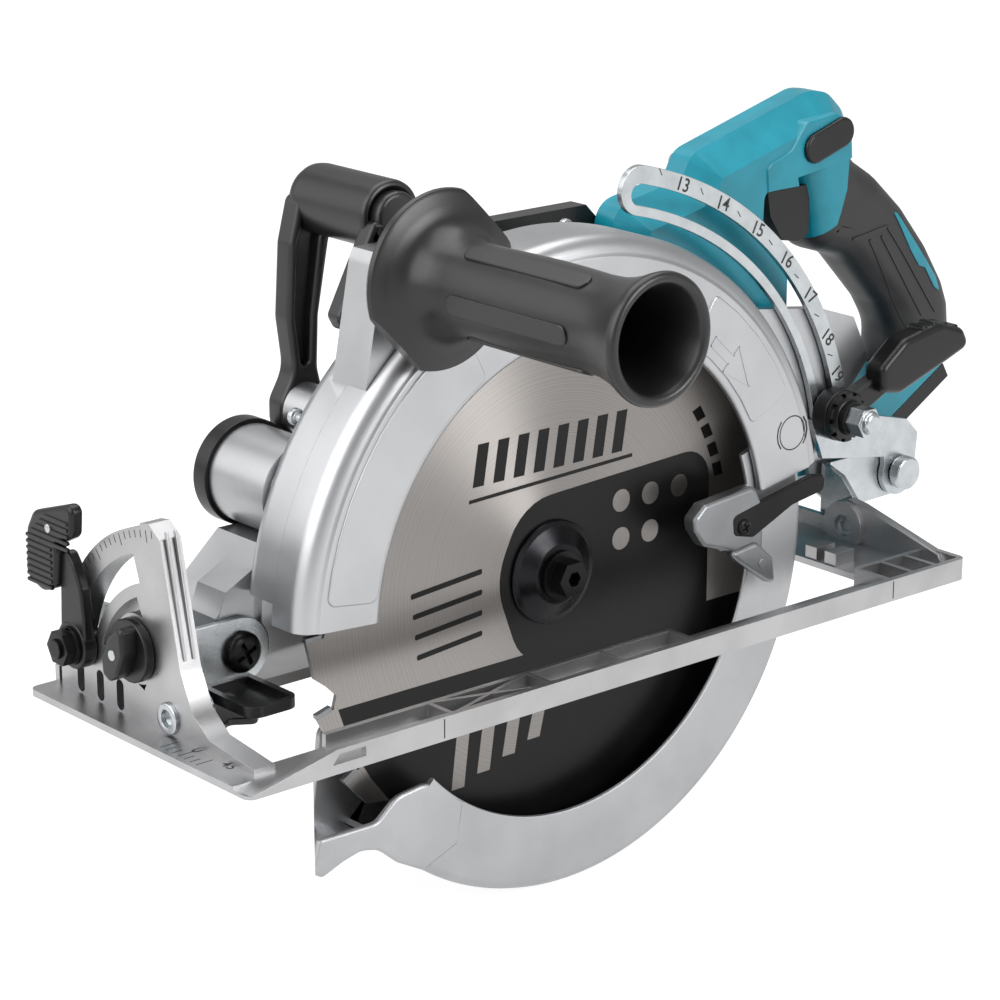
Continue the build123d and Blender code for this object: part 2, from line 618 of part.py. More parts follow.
def motor_top():
    """Square top of the barrel: level beside the handle, then falling away to the far side."""
    far = MOTOR_FAR_Y + 6
    fall = outline(
        (far, MOTOR_Z), (PLATE_FAR_Y, MOTOR_Z), (PLATE_FAR_Y, MOTOR_TOP_Z),
        (PLATE_FAR_Y - MOTOR_TOP_FLAT, MOTOR_TOP_Z), (far, MOTOR_Z + MOTOR_R - 2),
    )
    shoulder = MOTOR_TOP_Z - MOTOR_TOP_CORNER
    side = outline(
        (MOTOR_TOP_REAR_X, MOTOR_Z), (MOTOR_TOP_FRONT_X, MOTOR_Z), (MOTOR_TOP_FRONT_X, shoulder),
        (MOTOR_TOP_FRONT_X - MOTOR_TOP_CORNER, MOTOR_TOP_Z),
        (MOTOR_TOP_REAR_X + MOTOR_TOP_CORNER, MOTOR_TOP_Z), (MOTOR_TOP_REAR_X, shoulder),
    )
    return along_x(fall, MOTOR_TOP_REAR_X, MOTOR_TOP_FRONT_X) & across_y(side, far, PLATE_FAR_Y)


def motor_housing():
    barrel = rod_y(MOTOR_R, MOTOR_FAR_Y, PLATE_FAR_Y, MOTOR_X, MOTOR_Z)
    barrel += rod_y(MOTOR_FLANGE_R, PLATE_FAR_Y - 5.0, PLATE_FAR_Y, MOTOR_X, MOTOR_Z)
    barrel += motor_top()
    inside_r = MOTOR_R - MOTOR_WALL
    barrel -= rod_y(inside_r, MOTOR_FAR_Y + END_WALL, PLATE_FAR_Y + 1, MOTOR_X, MOTOR_Z)
    tail_seat = MOTOR_FAR_Y + END_WALL
    barrel += rod_y(TAIL_BEARING[1] / 2 + 3.5, tail_seat - 1, TAIL_NEAR_Y, MOTOR_X, MOTOR_Z)
    barrel -= rod_y(TAIL_BEARING[1] / 2 + SEAT_GAP / 2, tail_seat, TAIL_NEAR_Y + 1, MOTOR_X, MOTOR_Z)
    for x, z in motor_screw_places():
        barrel -= rod_y(MOTOR_SCREW_D + SEAT_GAP, MOTOR_FAR_Y - 1, PLATE_FAR_Y - 5.0, x, z)
        barrel -= rod_y(MOTOR_SCREW_D / 2 + RUN_FIT, PLATE_FAR_Y - 6.0, PLATE_FAR_Y + 1, x, z)
    slot = Pos((inside_r + MOTOR_R) / 2, 0) * Rectangle(MOTOR_WALL * 4, 5.0)
    slots = Sketch() + [Rot(0, 0, a) * slot for a in range(-120, 31, 15)]
    barrel -= across_y(Pos(MOTOR_X, MOTOR_Z) * slots, PLATE_FAR_Y - 14.0, PLATE_FAR_Y - 7.0)
    return barrel


def motor_screws():
    screws = Part()
    for x, z in motor_screw_places():
        screws += rod_y(MOTOR_SCREW_D / 2, PLATE_FAR_Y - 5.0, GEAR_FAR_Y + 10, x, z)
        screws += rod_y(MOTOR_SCREW_D, PLATE_FAR_Y - 8.5, PLATE_FAR_Y - 5.0, x, z)
    return screws


def stator():
    outer = MOTOR_R - MOTOR_WALL - RUN_FIT
    face = Circle(outer) - Circle(ROTOR_R + AIR_GAP)
    slot = Pos((outer + ROTOR_R) / 2 - 1, 0) * Rectangle(outer - ROTOR_R - 14, 13)
    mouth = Pos(ROTOR_R + 4, 0) * Rectangle(10, 3)
    for n in range(STATOR_SLOTS):
        face -= Rot(0, 0, 360 * n / STATOR_SLOTS + 30) * slot
        face -= Rot(0, 0, 360 * n / STATOR_SLOTS + 30) * mouth
    return across_y(Pos(MOTOR_X, MOTOR_Z) * face, STACK_FAR_Y, STACK_NEAR_Y)


# Blade case: far half with back plate, boss arm, dust port, front ear and rear arm
def cover_screw_places():
    radius = CASE_R - CASE_WALL / 2
    return [at_spindle(radius, angle) for angle in COVER_SCREW_DEGS]


def case_rim_section():
    inner = CASE_R - CASE_WALL
    far = -CASE_HALF_FAR
    far_in = far + CASE_BACK_T
    side = Line((CASE_R, 0), (CASE_R, far + RIM_ROUND))
    turn = RadiusArc((CASE_R, far + RIM_ROUND), (CASE_R - RIM_ROUND, far), RIM_ROUND)
    rest = Polyline(
        (CASE_R - RIM_ROUND, far), (COVER_OPENING_R, far), (COVER_OPENING_R, far_in), (inner, far_in),
        (inner, 0), (CASE_R, 0),
    )
    return make_face([side, turn, rest])


def boss_arm():
    """Upright arm on the rim that carries the side grip's stud and the loop handle's near end."""
    boss = Pos(SIDE_GRIP_X, SIDE_GRIP_Z) * Circle(BOSS_R)
    shin_z = SIDE_GRIP_Z - 16
    shin = outline(
        at_spindle(CASE_R - 4.1, 40.43), at_spindle(CASE_R - 9.2, 52.13), (SIDE_GRIP_X + 6, shin_z),
        (SIDE_GRIP_X + 17, shin_z),
    )
    face = make_hull(boss.edges() + shin.edges())
    arm = across_y(face, BOSS_FAR_Y, BOSS_NEAR_Y)
    flat_z = SIDE_GRIP_Z + BOSS_RISE
    rear, front = SIDE_GRIP_X - BOSS_R - 1, SIDE_GRIP_X + BOSS_R + 1
    arm -= block(rear, front, BOSS_FAR_Y - 1, BOSS_NEAR_Y + 1, flat_z, SIDE_GRIP_Z + BOSS_R + 1)
    return arm - rod_y(CASE_R + SEAT_GAP, 0, BOSS_NEAR_Y + 1, 0, SPINDLE_Z)


def rear_arm():
    """Arm behind the depth guide that holds the depth bolt."""
    root = MOTOR_X - MOTOR_FLANGE_R - 2
    rear = CLAMP_X
    top = CLAMP_Z
    web = outline((root, 62), (root, 106), (root - 32, 104), (root - 40, 70), (root - 30, 56))
    arm = across_y(web, REAR_ARM_Y - REAR_ARM_T, -CASE_HALF_FAR + 1)
    plate = outline(
        (root, 62), (root, 108), (root - 52, 116), (rear + 3, top + 49), (rear - 19, top + 41.5),
        (rear - 30, top + 20), (rear - 20, top + 9.5), (rear - 10, top - 14.5), (rear + 11, top - 16.5),
        (root - 30, 56),
    )
    arm += across_y(plate, REAR_ARM_Y - REAR_ARM_T, REAR_ARM_Y)
    foot = outline(
        (rear + 7, top - 10.5), (rear - 10, top - 10.5), (rear - 15, top - 38.5), (rear - 9, top - 46.5),
        (rear + 1, top - 38.5),
    )
    arm += across_y(foot, REAR_ARM_Y - REAR_ARM_T - 1.5, REAR_ARM_Y - REAR_ARM_T + 1)
    arm += rod_y(CLAMP_BOLT_D * 1.6, REAR_ARM_Y - REAR_ARM_T, REAR_ARM_Y, CLAMP_X, CLAMP_Z)
    return arm - rod_y(CLAMP_BOLT_D / 2 + RUN_FIT, REAR_ARM_Y - 20, REAR_ARM_Y + 1, CLAMP_X, CLAMP_Z)


def front_ear():
    """Ear on the far side of the case, in front, that turns on the depth screw."""
    near = BRACKET_LEG_FAR_Y - MOVE_GAP
    far = near - 19.0
    ear = rod_y(12.0, far, near, DEPTH_X, DEPTH_Z)
    root = CASE_R - 30
    web = outline(
        (DEPTH_X - 12, DEPTH_Z - 3), (DEPTH_X + 10, DEPTH_Z + 8), (DEPTH_X + 4, DEPTH_Z + 24.5),
        (root + 10, 66), (root - 4, 60), (root + 2, 30),
    )
    ear += across_y(web, far, near)
    hood = outline(
        (root, 66), (root + 15, 66), (DEPTH_X + 9, DEPTH_Z + 14.5), (DEPTH_X + 9, DEPTH_Z + 3.5),
        (DEPTH_X - 12, DEPTH_Z - 5.5), (root + 2, 26),
    )
    ear += across_y(hood, HOOD_FAR_Y, -CASE_HALF_FAR)
    return ear - rod_y(DEPTH_SCREW_D / 2 + RUN_FIT, far - 1, near + 1, DEPTH_X, DEPTH_Z)


def loop_foot():
    bore = LOOP_BOLT_D / 2 + RUN_FIT
    foot = rod_y(LOOP_FOOT_R, LOOP_LEG_Y, -CASE_HALF_FAR + 1, LOOP_FOOT_X, LOOP_FOOT_Z)
    return foot - rod_y(bore, LOOP_LEG_Y - 1, LOOP_LEG_Y + 25, LOOP_FOOT_X, LOOP_FOOT_Z)


def blade_case():
    far = -CASE_HALF_FAR
    back = Pos(0, SPINDLE_Z) * wedge(CASE_R - RIM_ROUND, -4, CASE_BACK_REAR_DEG)
    back += Pos(0, SPINDLE_Z) * Circle(CASE_HUB_R)
    back -= Pos(0, SPINDLE_Z) * Circle(NOSE_R + SEAT_GAP)
    back -= Pos(DEPTH_X, DEPTH_Z) * Circle(BRACKET_EYE_R + MOVE_GAP)
    case = across_y(back, far, far + CASE_BACK_T)
    case += ring_part(case_rim_section(), CASE_FRONT_DEG, CASE_REAR_DEG)
    case += boss_arm()
    case += rear_arm()
    case += front_ear()
    case += loop_foot()
    case += rod_y(DUST_R, DUST_END_Y, far + 1, DUST_X, DUST_Z)
    case -= rod_y(DUST_BORE_R, DUST_END_Y - 1, far + CASE_BACK_T + 0.5, DUST_X, DUST_Z)
    case -= rod_y(CASE_R - CASE_WALL, far + CASE_BACK_T, BOSS_NEAR_Y + 1, 0, SPINDLE_Z)
    case -= rod_y(STUD_D / 2 + RUN_FIT, BOSS_FAR_Y - 1, BOSS_NEAR_Y + 1, SIDE_GRIP_X, SIDE_GRIP_Z)
    for x, z in cover_screw_places():
        case -= rod_y(COVER_SCREW_D / 2 + RUN_FIT, far - 1, 1, x, z)
    return case


def guard_cover():
    near = COVER_HALF_NEAR
    inner = CASE_R - CASE_WALL
    side = Line((CASE_R, 0), (CASE_R, near - RIM_ROUND))
    turn = RadiusArc((CASE_R, near - RIM_ROUND), (CASE_R - RIM_ROUND, near), -RIM_ROUND)
    rest = Polyline(
        (CASE_R - RIM_ROUND, near), (COVER_OPENING_R, near), (COVER_OPENING_R, near - COVER_T),
        (inner - 2, near - COVER_T), (inner, near - COVER_T - 2), (inner, 0), (CASE_R, 0),
    )
    cover = ring_part(make_face([side, turn, rest]), COVER_FRONT_DEG, COVER_REAR_DEG)
    for x, z in cover_screw_places():
        cover -= rod_y(COVER_SCREW_D / 2 + RUN_FIT, -1, near - RIM_ROUND, x, z)
    return cover


def cover_screws():
    far = -CASE_HALF_FAR
    screws = Part()
    for x, z in cover_screw_places():
        screws += rod_y(COVER_SCREW_D / 2, far, COVER_HALF_NEAR - RIM_ROUND - 1, x, z)
        screws += rod_y(COVER_SCREW_HEAD_D / 2, far - 2.5, far, x, z)
    return screws


def dust_ring():
    section = Circle(DUST_R + DUST_RING_T) - Circle(DUST_R + RUN_FIT)
    return across_y(Pos(DUST_X, DUST_Z) * section, DUST_END_Y, DUST_END_Y + DUST_RING_W)


# Grips on the case
def side_grip():
    disc_end = SIDE_DISC_Y + SIDE_DISC_T
    end = SIDE_GRIP_END_Y
    bore_start = end - SIDE_BORE_DEPTH
    section = [
        (0, BOSS_NEAR_Y), (BOSS_R - 1, BOSS_NEAR_Y), (BOSS_R - 1, SIDE_DISC_Y - 3),
        (SIDE_DISC_R - 4, SIDE_DISC_Y),
        (SIDE_DISC_R, SIDE_DISC_Y + 1), (SIDE_DISC_R, disc_end - 1), (SIDE_DISC_R - 4, disc_end),
        (SIDE_GRIP_R + 5, disc_end + 5), (SIDE_GRIP_R, disc_end + 14),
        (SIDE_GRIP_R + 1, (disc_end + end) / 2),
        (SIDE_GRIP_R, end - 28), (SIDE_GRIP_R + 1.5, end - 14), (SIDE_GRIP_END_R, end - 4),
        (SIDE_GRIP_END_R, end - 1.5), (SIDE_GRIP_END_R - 2, end), (SIDE_BORE_R + 4, end),
        (SIDE_BORE_R, end - 8), (SIDE_BORE_R, bore_start), (0, bore_start),
    ]
    grip = turned(section, SIDE_GRIP_X, SIDE_GRIP_Z)
    off_cut = block(SIDE_DISC_FLAT, SIDE_DISC_R + 1, SIDE_DISC_Y - 1, disc_end + 1, -SIDE_DISC_R, SIDE_DISC_R)
    for side in (0, 180):
        grip -= Pos(SIDE_GRIP_X, 0, SIDE_GRIP_Z) * Rot(0, -SIDE_DISC_FLAT_DEG - side, 0) * off_cut
    return grip - rod_y(STUD_D / 2 + RUN_FIT, BOSS_NEAR_Y - 1, disc_end + 20, SIDE_GRIP_X, SIDE_GRIP_Z)


def side_grip_stud():
    return rod_y(STUD_D / 2, BOSS_FAR_Y, SIDE_DISC_Y + SIDE_DISC_T + 18, SIDE_GRIP_X, SIDE_GRIP_Z)


def loop_handle():
    leg_end = LOOP_LEG_Y - LOOP_LEG_T
    tube = rod_y(LOOP_R, leg_end, LOOP_NEAR_Y, LOOP_X, LOOP_Z)
    leg = outline(
        (LOOP_X - 8, LOOP_Z + 3), (LOOP_X + 14, LOOP_Z + 3), (LOOP_X + 19, LOOP_Z - 16),
        (LOOP_X + 21, LOOP_Z - 47), (LOOP_X + 18, LOOP_Z - 69),
        (LOOP_FOOT_X + LOOP_FOOT_R, LOOP_FOOT_Z), (LOOP_FOOT_X - LOOP_FOOT_R, LOOP_FOOT_Z),
        (LOOP_X + 6, LOOP_Z - 69), (LOOP_X + 5, LOOP_Z - 47), (LOOP_X, LOOP_Z - 16),
    )
    leg += Pos(LOOP_FOOT_X, LOOP_FOOT_Z) * Circle(LOOP_FOOT_R)
    handle = tube + across_y(leg, leg_end, LOOP_LEG_Y)
    near_leg = outline(
        (LOOP_X - 13, LOOP_Z), (LOOP_X + 13, LOOP_Z), (LOOP_X + 32, LOOP_Z - 38), (LOOP_X + 26, LOOP_Z - 47),
        (LOOP_X + 6, LOOP_Z - 32),
    )
    handle += across_y(near_leg, BOSS_FAR_Y - 9, BOSS_FAR_Y)
    handle -= rod_y(LOOP_BORE_R, LOOP_LEG_Y + 4, BOSS_FAR_Y + 1, LOOP_X, LOOP_Z)
    handle -= rod_y(STUD_D / 2 + 2, BOSS_FAR_Y - 20, BOSS_FAR_Y + 1, SIDE_GRIP_X, SIDE_GRIP_Z)
    handle -= rod_y(CASE_R + SEAT_GAP, BOSS_FAR_Y - 20, BOSS_FAR_Y + 1, 0, SPINDLE_Z)
    return handle - rod_y(LOOP_BOLT_D / 2 + RUN_FIT, leg_end - 1, LOOP_LEG_Y + 1, LOOP_FOOT_X, LOOP_FOOT_Z)


def loop_bolt():
    leg_end = LOOP_LEG_Y - LOOP_LEG_T
    bolt = rod_y(LOOP_BOLT_D / 2, leg_end, LOOP_LEG_Y + 22, LOOP_FOOT_X, LOOP_FOOT_Z)
    bolt += rod_y(LOOP_BOLT_D * 0.9, leg_end - 5, leg_end, LOOP_FOOT_X, LOOP_FOOT_Z)
    return bolt - hex_y(LOOP_BOLT_D * 0.8, leg_end - 6, leg_end - 2, LOOP_FOOT_X, LOOP_FOOT_Z)


# Lower guard group, turning about the gear housing's nose
def lower_guard():
    sheet = GUARD_SHEET
    inner_rim = GUARD_R - sheet
    near_in = GUARD_NEAR_Y - sheet
    channel = outline(
        (GUARD_INNER_R, GUARD_NEAR_Y), (GUARD_R - 4, GUARD_NEAR_Y), (GUARD_R, GUARD_NEAR_Y - 4),
        (GUARD_R, GUARD_FAR_Y), (GUARD_HUB_R, GUARD_FAR_Y), (GUARD_HUB_R, GUARD_FAR_Y + sheet),
        (inner_rim, GUARD_FAR_Y + sheet), (inner_rim, near_in - 2), (inner_rim - 2, near_in),
        (GUARD_INNER_R, near_in),
    )
    guard = ring_part(channel, GUARD_REAR_DEG, GUARD_FRONT_DEG)
    hub = Pos(0, SPINDLE_Z) * (Circle(GUARD_HUB_R + 1) - Circle(NOSE_R + RUN_FIT))
    guard += across_y(hub, GUARD_FAR_Y, NOSE_END_Y - 0.3)
    tab = Pos(0, SPINDLE_Z) * ring_sector(LEVER_SEAT_R, GUARD_INNER_R + 2, -192, -176)
    guard += across_y(tab, near_in, GUARD_NEAR_Y)
    neck = at_spindle(GUARD_R, GUARD_FRONT_DEG - 1)
    heel = at_spindle(GUARD_INNER_R, GUARD_FRONT_DEG - 8)
    tip = at_spindle(GUARD_R + 28.8, -35.6)
    top = at_spindle(GUARD_R + 21.3, -30.15)
    saddle = at_spindle(GUARD_R - 7.2, -36.15)
    shoulder = at_spindle(GUARD_INNER_R + 4.0, -40.8)
    lip = outline(neck, tip, top, saddle, shoulder, heel)
    guard += across_y(lip, near_in, GUARD_NEAR_Y)
    sole = outline(neck, tip, (tip[0], tip[1] + 4), (neck[0] - 2, neck[1] + 5))
    guard += across_y(sole, GUARD_FAR_Y + 4, GUARD_NEAR_Y)
    throat = outline(
        neck, at_spindle(GUARD_R + 18, -40), at_spindle(GUARD_R - 13.4, -21.5),
        at_spindle(GUARD_R - 28.2, -24.7), at_spindle(GUARD_R - 21.7, -39.7),
    )
    guard += across_y(throat, GUARD_FAR_Y, GUARD_FAR_Y + sheet)
    screw_end = GUARD_NEAR_Y - sheet - 1
    return guard - rod_y(LEVER_SCREW_D / 2 + RUN_FIT, screw_end, GUARD_NEAR_Y + 1, LEVER_X, LEVER_Z)


def guard_lever():
    near = GUARD_NEAR_Y + LEVER_T
    x, z = LEVER_X, LEVER_Z
    body = outline(
        (x + 28.5, z + 3), (x + 29.5, z + 9), (x + 23, z + 14.5), (x - 7, z + 17), (x - 12.5, z + 7),
        (x - 12.5, z - 15), (x - 5, z - 16), (x + 3, z - 11.5), (x + 23, z - 4.5),
    )
    lever = across_y(body, GUARD_NEAR_Y, near)
    tongue = outline(
        (x + 10, z - 9.5), (x - 6, z - 7.5), (x - 18, z - 17), (x - 20, z - 29), (x - 14.5, z - 28),
        (x + 4, z - 15.5),
    )
    lever += across_y(tongue, COVER_HALF_NEAR + 1, near + 2)
    lever -= across_y(offset(wing_face(), SEAT_GAP), near - WING_T, near + 1)
    return lever - rod_y(LEVER_SCREW_D / 2 + RUN_FIT, GUARD_NEAR_Y - 1, near + 1, LEVER_X, LEVER_Z)


def wing_face():
    x, z = LEVER_X, LEVER_Z
    return outline(
        (x + 6, z - 3), (x + 7, z + 6), (x - 42, z + 15.5), (x - 50, z + 14), (x - 50, z + 7),
        (x - 30, z + 4), (x - 6, z - 6),
    )


def guard_wing():
    near = GUARD_NEAR_Y + LEVER_T
    wing = across_y(wing_face(), near - WING_T, near)
    return wing - rod_y(LEVER_SCREW_D / 2 + RUN_FIT, near - WING_T - 1, near + 1, LEVER_X, LEVER_Z)


def guard_screw():
    near = GUARD_NEAR_Y + LEVER_T
    screw = rod_y(LEVER_SCREW_D / 2, GUARD_NEAR_Y - GUARD_SHEET, near, LEVER_X, LEVER_Z)
    return screw + rod_y(LEVER_SCREW_HEAD_R, near, near + LEVER_SCREW_HEAD_T, LEVER_X, LEVER_Z)


def guard_ring():
    near = NOSE_END_Y + 1.2
    section = [(NOSE_R - 5, NOSE_END_Y), (NOSE_R + 4, NOSE_END_Y), (NOSE_R + 4, near), (NOSE_R - 5, near)]
    return turned(section, 0, SPINDLE_Z)


def guard_spring():
    """Flat return spring wound about the nose, between the case's back and the guard."""
    near = GUARD_FAR_Y - 0.4
    coil = Circle(NOSE_R + 4.5) - Circle(NOSE_R + RUN_FIT)
    gap = Pos(NOSE_R + 2, 0) * Rectangle(8, 4)
    arm = Pos(NOSE_R + 16, 4) * Rectangle(26, 3)
    return across_y(Pos(0, SPINDLE_Z) * (coil - gap + arm), near - 1.8, near)


# Base plate with its front bevel plate and rear lug
def bevel_plate():
    pivot = Pos(BEVEL_Y, BEVEL_Z)
    far = BEVEL_Y - BEVEL_ARC_R
    face = pivot * wedge(BEVEL_ARC_R, 101, 180)
    face += outline((far, 0), (far, BEVEL_Z), (BEVEL_Y, BEVEL_Z), (BEVEL_Y, 0))
    top = BEVEL_Z + BEVEL_ARC_R
    face += outline(
        (-33, 0), (-33, 70), (-28, top), (-22, top + 1), (-15, top - 4), (-4, 32), (3, 17), (14, 8.5),
        (43, 5), (43, 0),
    )
    inner = BEVEL_SLOT_R - BEVEL_SLOT_W / 2
    outer = BEVEL_SLOT_R + BEVEL_SLOT_W / 2
    face -= pivot * ring_sector(inner, outer, BEVEL_SLOT_END_DEG, BEVEL_BOLT_DEG + 5)
    for place in (-74.0, -60.0, -46.0):
        face -= Pos(place, FLOOR_T + 7) * SlotOverall(13, 5, rotation=90)
    plate = along_x(face, BEVEL_BACK_X, BEVEL_FACE_X)
    recess = pivot * ring_sector(18, inner - 5, 114, 158) - Pos(KNOB_Y, KNOB_Z) * Circle(KNOB_D / 2 + 1.5)
    plate -= along_x(recess, BEVEL_FACE_X - 5, BEVEL_FACE_X + 1)
    return plate - rod_x(KNOB_PIN_R + RUN_FIT, BEVEL_BACK_X - 1, BEVEL_FACE_X + 1, KNOB_Y, KNOB_Z)


def rear_lug():
    plate = outline((-28, 0), (-26, 14), (-18, 20.5), (-12, 22), (-4, 21), (44, WALL_H - 1), (50, 0))
    lug = along_x(plate, BASE_REAR, BASE_REAR + 5)
    lug += rod_x(11.5, BASE_REAR, BASE_REAR + LUG_T, BEVEL_Y, BEVEL_Z)
    return lug - block(BASE_REAR - 1, BASE_REAR + LUG_T + 1, -60, 60, -5, 0)


def near_bar_ribs():
    """Inner wall and cross ribs of the ladder bar beside the blade, drawn from above."""
    inner = BAR_INNER
    outer = BASE_NEAR - WALL_T + 1
    middle = (inner + outer) / 2
    length = RIB_FRONT_X - RIB_REAR_X
    ribs = Pos((RIB_REAR_X + RIB_FRONT_X) / 2, inner + 1.2) * Rectangle(length, RIB_T)
    for x in (RIB_REAR_X + RIB_T / 2, 6.0, 46.0, 98.0):
        ribs += Pos(x, middle) * Rectangle(RIB_T, outer - inner)
    for lean in (-1, 1):
        ribs += Pos(72, middle) * Rot(0, 0, lean * 17) * Rectangle(50, 1.8)
    return ribs


def rear_bar_ribs():
    """Pockets where the bar meets the rear wall, and the two small blocks behind the blade."""
    outer = BASE_NEAR - WALL_T + 1
    inner = BAR_INNER - 4
    end = OPEN_REAR + 8
    ribs = Pos((BASE_REAR + end) / 2, inner) * Rectangle(end - BASE_REAR - 4, RIB_T)
    for x in (BASE_REAR + 16.0, BASE_REAR + 31.0, BASE_REAR + 46.5):
        ribs += Pos(x, (inner + outer) / 2) * Rectangle(RIB_T, outer - inner)
    for y in (-2.0, 10.0):
        ribs += Pos(OPEN_REAR - 7, y) * Rectangle(12, 7)
    return ribs


def base_plate():
    middle = Pos((BASE_REAR + BASE_FRONT) / 2, (BASE_NEAR + BASE_FAR) / 2)
    plan = middle * RectangleRounded(BASE_FRONT - BASE_REAR, BASE_NEAR - BASE_FAR, 4.0)
    open_middle = (OPEN_REAR + OPEN_FRONT) / 2
    open_length = OPEN_FRONT - OPEN_REAR
    hole = Pos(open_middle, (OPEN_FAR + BAR_INNER) / 2) * Rectangle(open_length, BAR_INNER - OPEN_FAR)
    base = extrude(plan - hole, amount=FLOOR_T)
    base += extrude(plan - offset(plan, -WALL_T), amount=WALL_H)
    base -= block(BEVEL_FACE_X, BASE_FRONT + 1, BASE_FAR - 1, BASE_NEAR - WALL_T, FLOOR_T, WALL_H + 1)
    curb = Pos(open_middle, OPEN_FAR - RIB_T / 2) * Rectangle(open_length + 4, RIB_T)
    for y in (-84.0, -66.0):
        curb += Pos((BASE_REAR + BEVEL_BACK_X) / 2, y) * Rectangle(BEVEL_BACK_X - BASE_REAR - 2, RIB_T)
    base += extrude(curb, amount=FLOOR_T + 1.8)
    base += extrude(near_bar_ribs() + rear_bar_ribs(), amount=WALL_H - 1)
    base += bevel_plate()
    base += rear_lug()
    front = BASE_FRONT
    ski = outline(
        (front - 50, WALL_H + 1), (front - 42, WALL_H), (front - 2, 1.5), (front + 1, 1.5),
        (front + 1, WALL_H + 1),
    )
    base -= across_y(ski, BASE_NEAR - WALL_T - 7, BASE_NEAR + 1)
    window = outline((front - 56, 4.0), (front - 56, 8), (front - 43, 8), (front - 40, 4.0))
    base -= across_y(window, BASE_NEAR - WALL_T - 1, BASE_NEAR + 1)
    return base - rod_x(BEVEL_PIN_D / 2 + RUN_FIT, BASE_REAR - 1, BASE_FRONT + 1, BEVEL_Y, BEVEL_Z)


# Bevel pieces
def bevel_pins():
    """Two headed pins, one in the front plate and one in the rear lug."""
    lug_front = BASE_REAR + LUG_T
    head_r = BEVEL_PIN_D / 2 + 2
    front = rod_x(BEVEL_PIN_D / 2, BRACKET_BACK_X, BEVEL_FACE_X, BEVEL_Y, BEVEL_Z)
    front += rod_x(head_r, BEVEL_FACE_X, BEVEL_FACE_X + 2, BEVEL_Y, BEVEL_Z)
    rear = rod_x(BEVEL_PIN_D / 2, REAR_BRACKET_X - BEVEL_BRACKET_T, lug_front, BEVEL_Y, BEVEL_Z)
    rear += rod_x(head_r, lug_front, lug_front + 2, BEVEL_Y, BEVEL_Z)
    return Compound([front, rear])


def front_bracket():
    """Bent zinc-plated strip: one leg on the bevel pivot and clamp bolt, the other on the depth screw."""
    top = DEPTH_Z + 14
    flat = outline(
        (BEVEL_Y, BEVEL_Z - EYE_R), (BEVEL_Y + EYE_R, BEVEL_Z), (BRACKET_LEG_NEAR_Y, 20),
        (BRACKET_LEG_NEAR_Y, top), (-34, top), (CLAMP_Y_AT - 10, CLAMP_Z_AT + 11),
        (CLAMP_Y_AT - 10, CLAMP_Z_AT - 9),
    )
    flat += Pos(BEVEL_Y, BEVEL_Z) * Circle(EYE_R)
    bracket = along_x(flat, BRACKET_BACK_X, BRACKET_FRONT_X)
    low = DEPTH_Z - 14
    leg = outline((DEPTH_X, low), (BRACKET_FRONT_X, low), (BRACKET_FRONT_X, top), (DEPTH_X, top))
    leg += Pos(DEPTH_X, DEPTH_Z) * Circle(BRACKET_EYE_R)
    bracket += across_y(leg, BRACKET_LEG_FAR_Y, BRACKET_LEG_NEAR_Y)
    bracket -= rod_x(BEVEL_PIN_D / 2 + RUN_FIT, BRACKET_BACK_X - 1, BRACKET_FRONT_X + 1, BEVEL_Y, BEVEL_Z)
    bolt_r = BEVEL_BOLT_D / 2 + RUN_FIT
    bracket -= rod_x(bolt_r, BRACKET_BACK_X - 1, BRACKET_FRONT_X + 1, CLAMP_Y_AT, CLAMP_Z_AT)
    bore = DEPTH_SCREW_D / 2 + RUN_FIT
    return bracket - rod_y(bore, BRACKET_LEG_FAR_Y - 1, BRACKET_LEG_NEAR_Y + 1, DEPTH_X, DEPTH_Z)


def front_tray():
    """Black ledge below the depth screw, on the bracket's near leg."""
    rear, front = DEPTH_X - 4, BRACKET_BACK_X - 2
    low, high = DEPTH_Z - 14.5, DEPTH_Z - 10
    near = BRACKET_LEG_NEAR_Y + 34
    tray = block(rear, front, BRACKET_LEG_NEAR_Y, near, low, high)
    tray = fillet(tray.edges().filter_by(Axis.Z).sort_by(Axis.Y)[-2:], 6.0)
    return tray - block(rear + 3, front - 3, BRACKET_LEG_NEAR_Y + 3, near - 3, low + 2, high + 1)


def rear_bracket():
    """Zinc-plated angle: one leg on the rear bevel pivot, the other carries the depth guide's pin."""
    back = REAR_BRACKET_X - BEVEL_BRACKET_T
    flat = outline(
        (REAR_LEG_FAR_Y, 9), (REAR_LEG_FAR_Y, 34), (-22, 30), (BEVEL_Y + EYE_R, BEVEL_Z),
        (BEVEL_Y, BEVEL_Z - EYE_R),
    )
    flat += Pos(BEVEL_Y, BEVEL_Z) * Circle(EYE_R)
    bracket = along_x(flat, back, REAR_BRACKET_X)
    leg = outline((back, 9), (back, 34), (PIN_X, 34), (PIN_X, 10))
    leg += Pos(PIN_X, PIN_Z) * Circle(12.0)
    bracket += across_y(leg, REAR_LEG_FAR_Y, REAR_LEG_NEAR_Y)
    bracket -= rod_x(BEVEL_PIN_D / 2 + RUN_FIT, back - 1, REAR_BRACKET_X + 1, BEVEL_Y, BEVEL_Z)
    return bracket - rod_y(PIN_D / 2 + RUN_FIT, REAR_LEG_FAR_Y - 1, REAR_LEG_NEAR_Y + 1, PIN_X, PIN_Z)


def clamp_bolt():
    end = BEVEL_FACE_X + BEVEL_LEVER_T + BEVEL_NUT_T + 1.5
    bolt = rod_x(BEVEL_BOLT_D / 2, BRACKET_BACK_X, end, CLAMP_Y_AT, CLAMP_Z_AT)
    return bolt + rod_x(BEVEL_BOLT_D, BRACKET_BACK_X - 4, BRACKET_BACK_X, CLAMP_Y_AT, CLAMP_Z_AT)


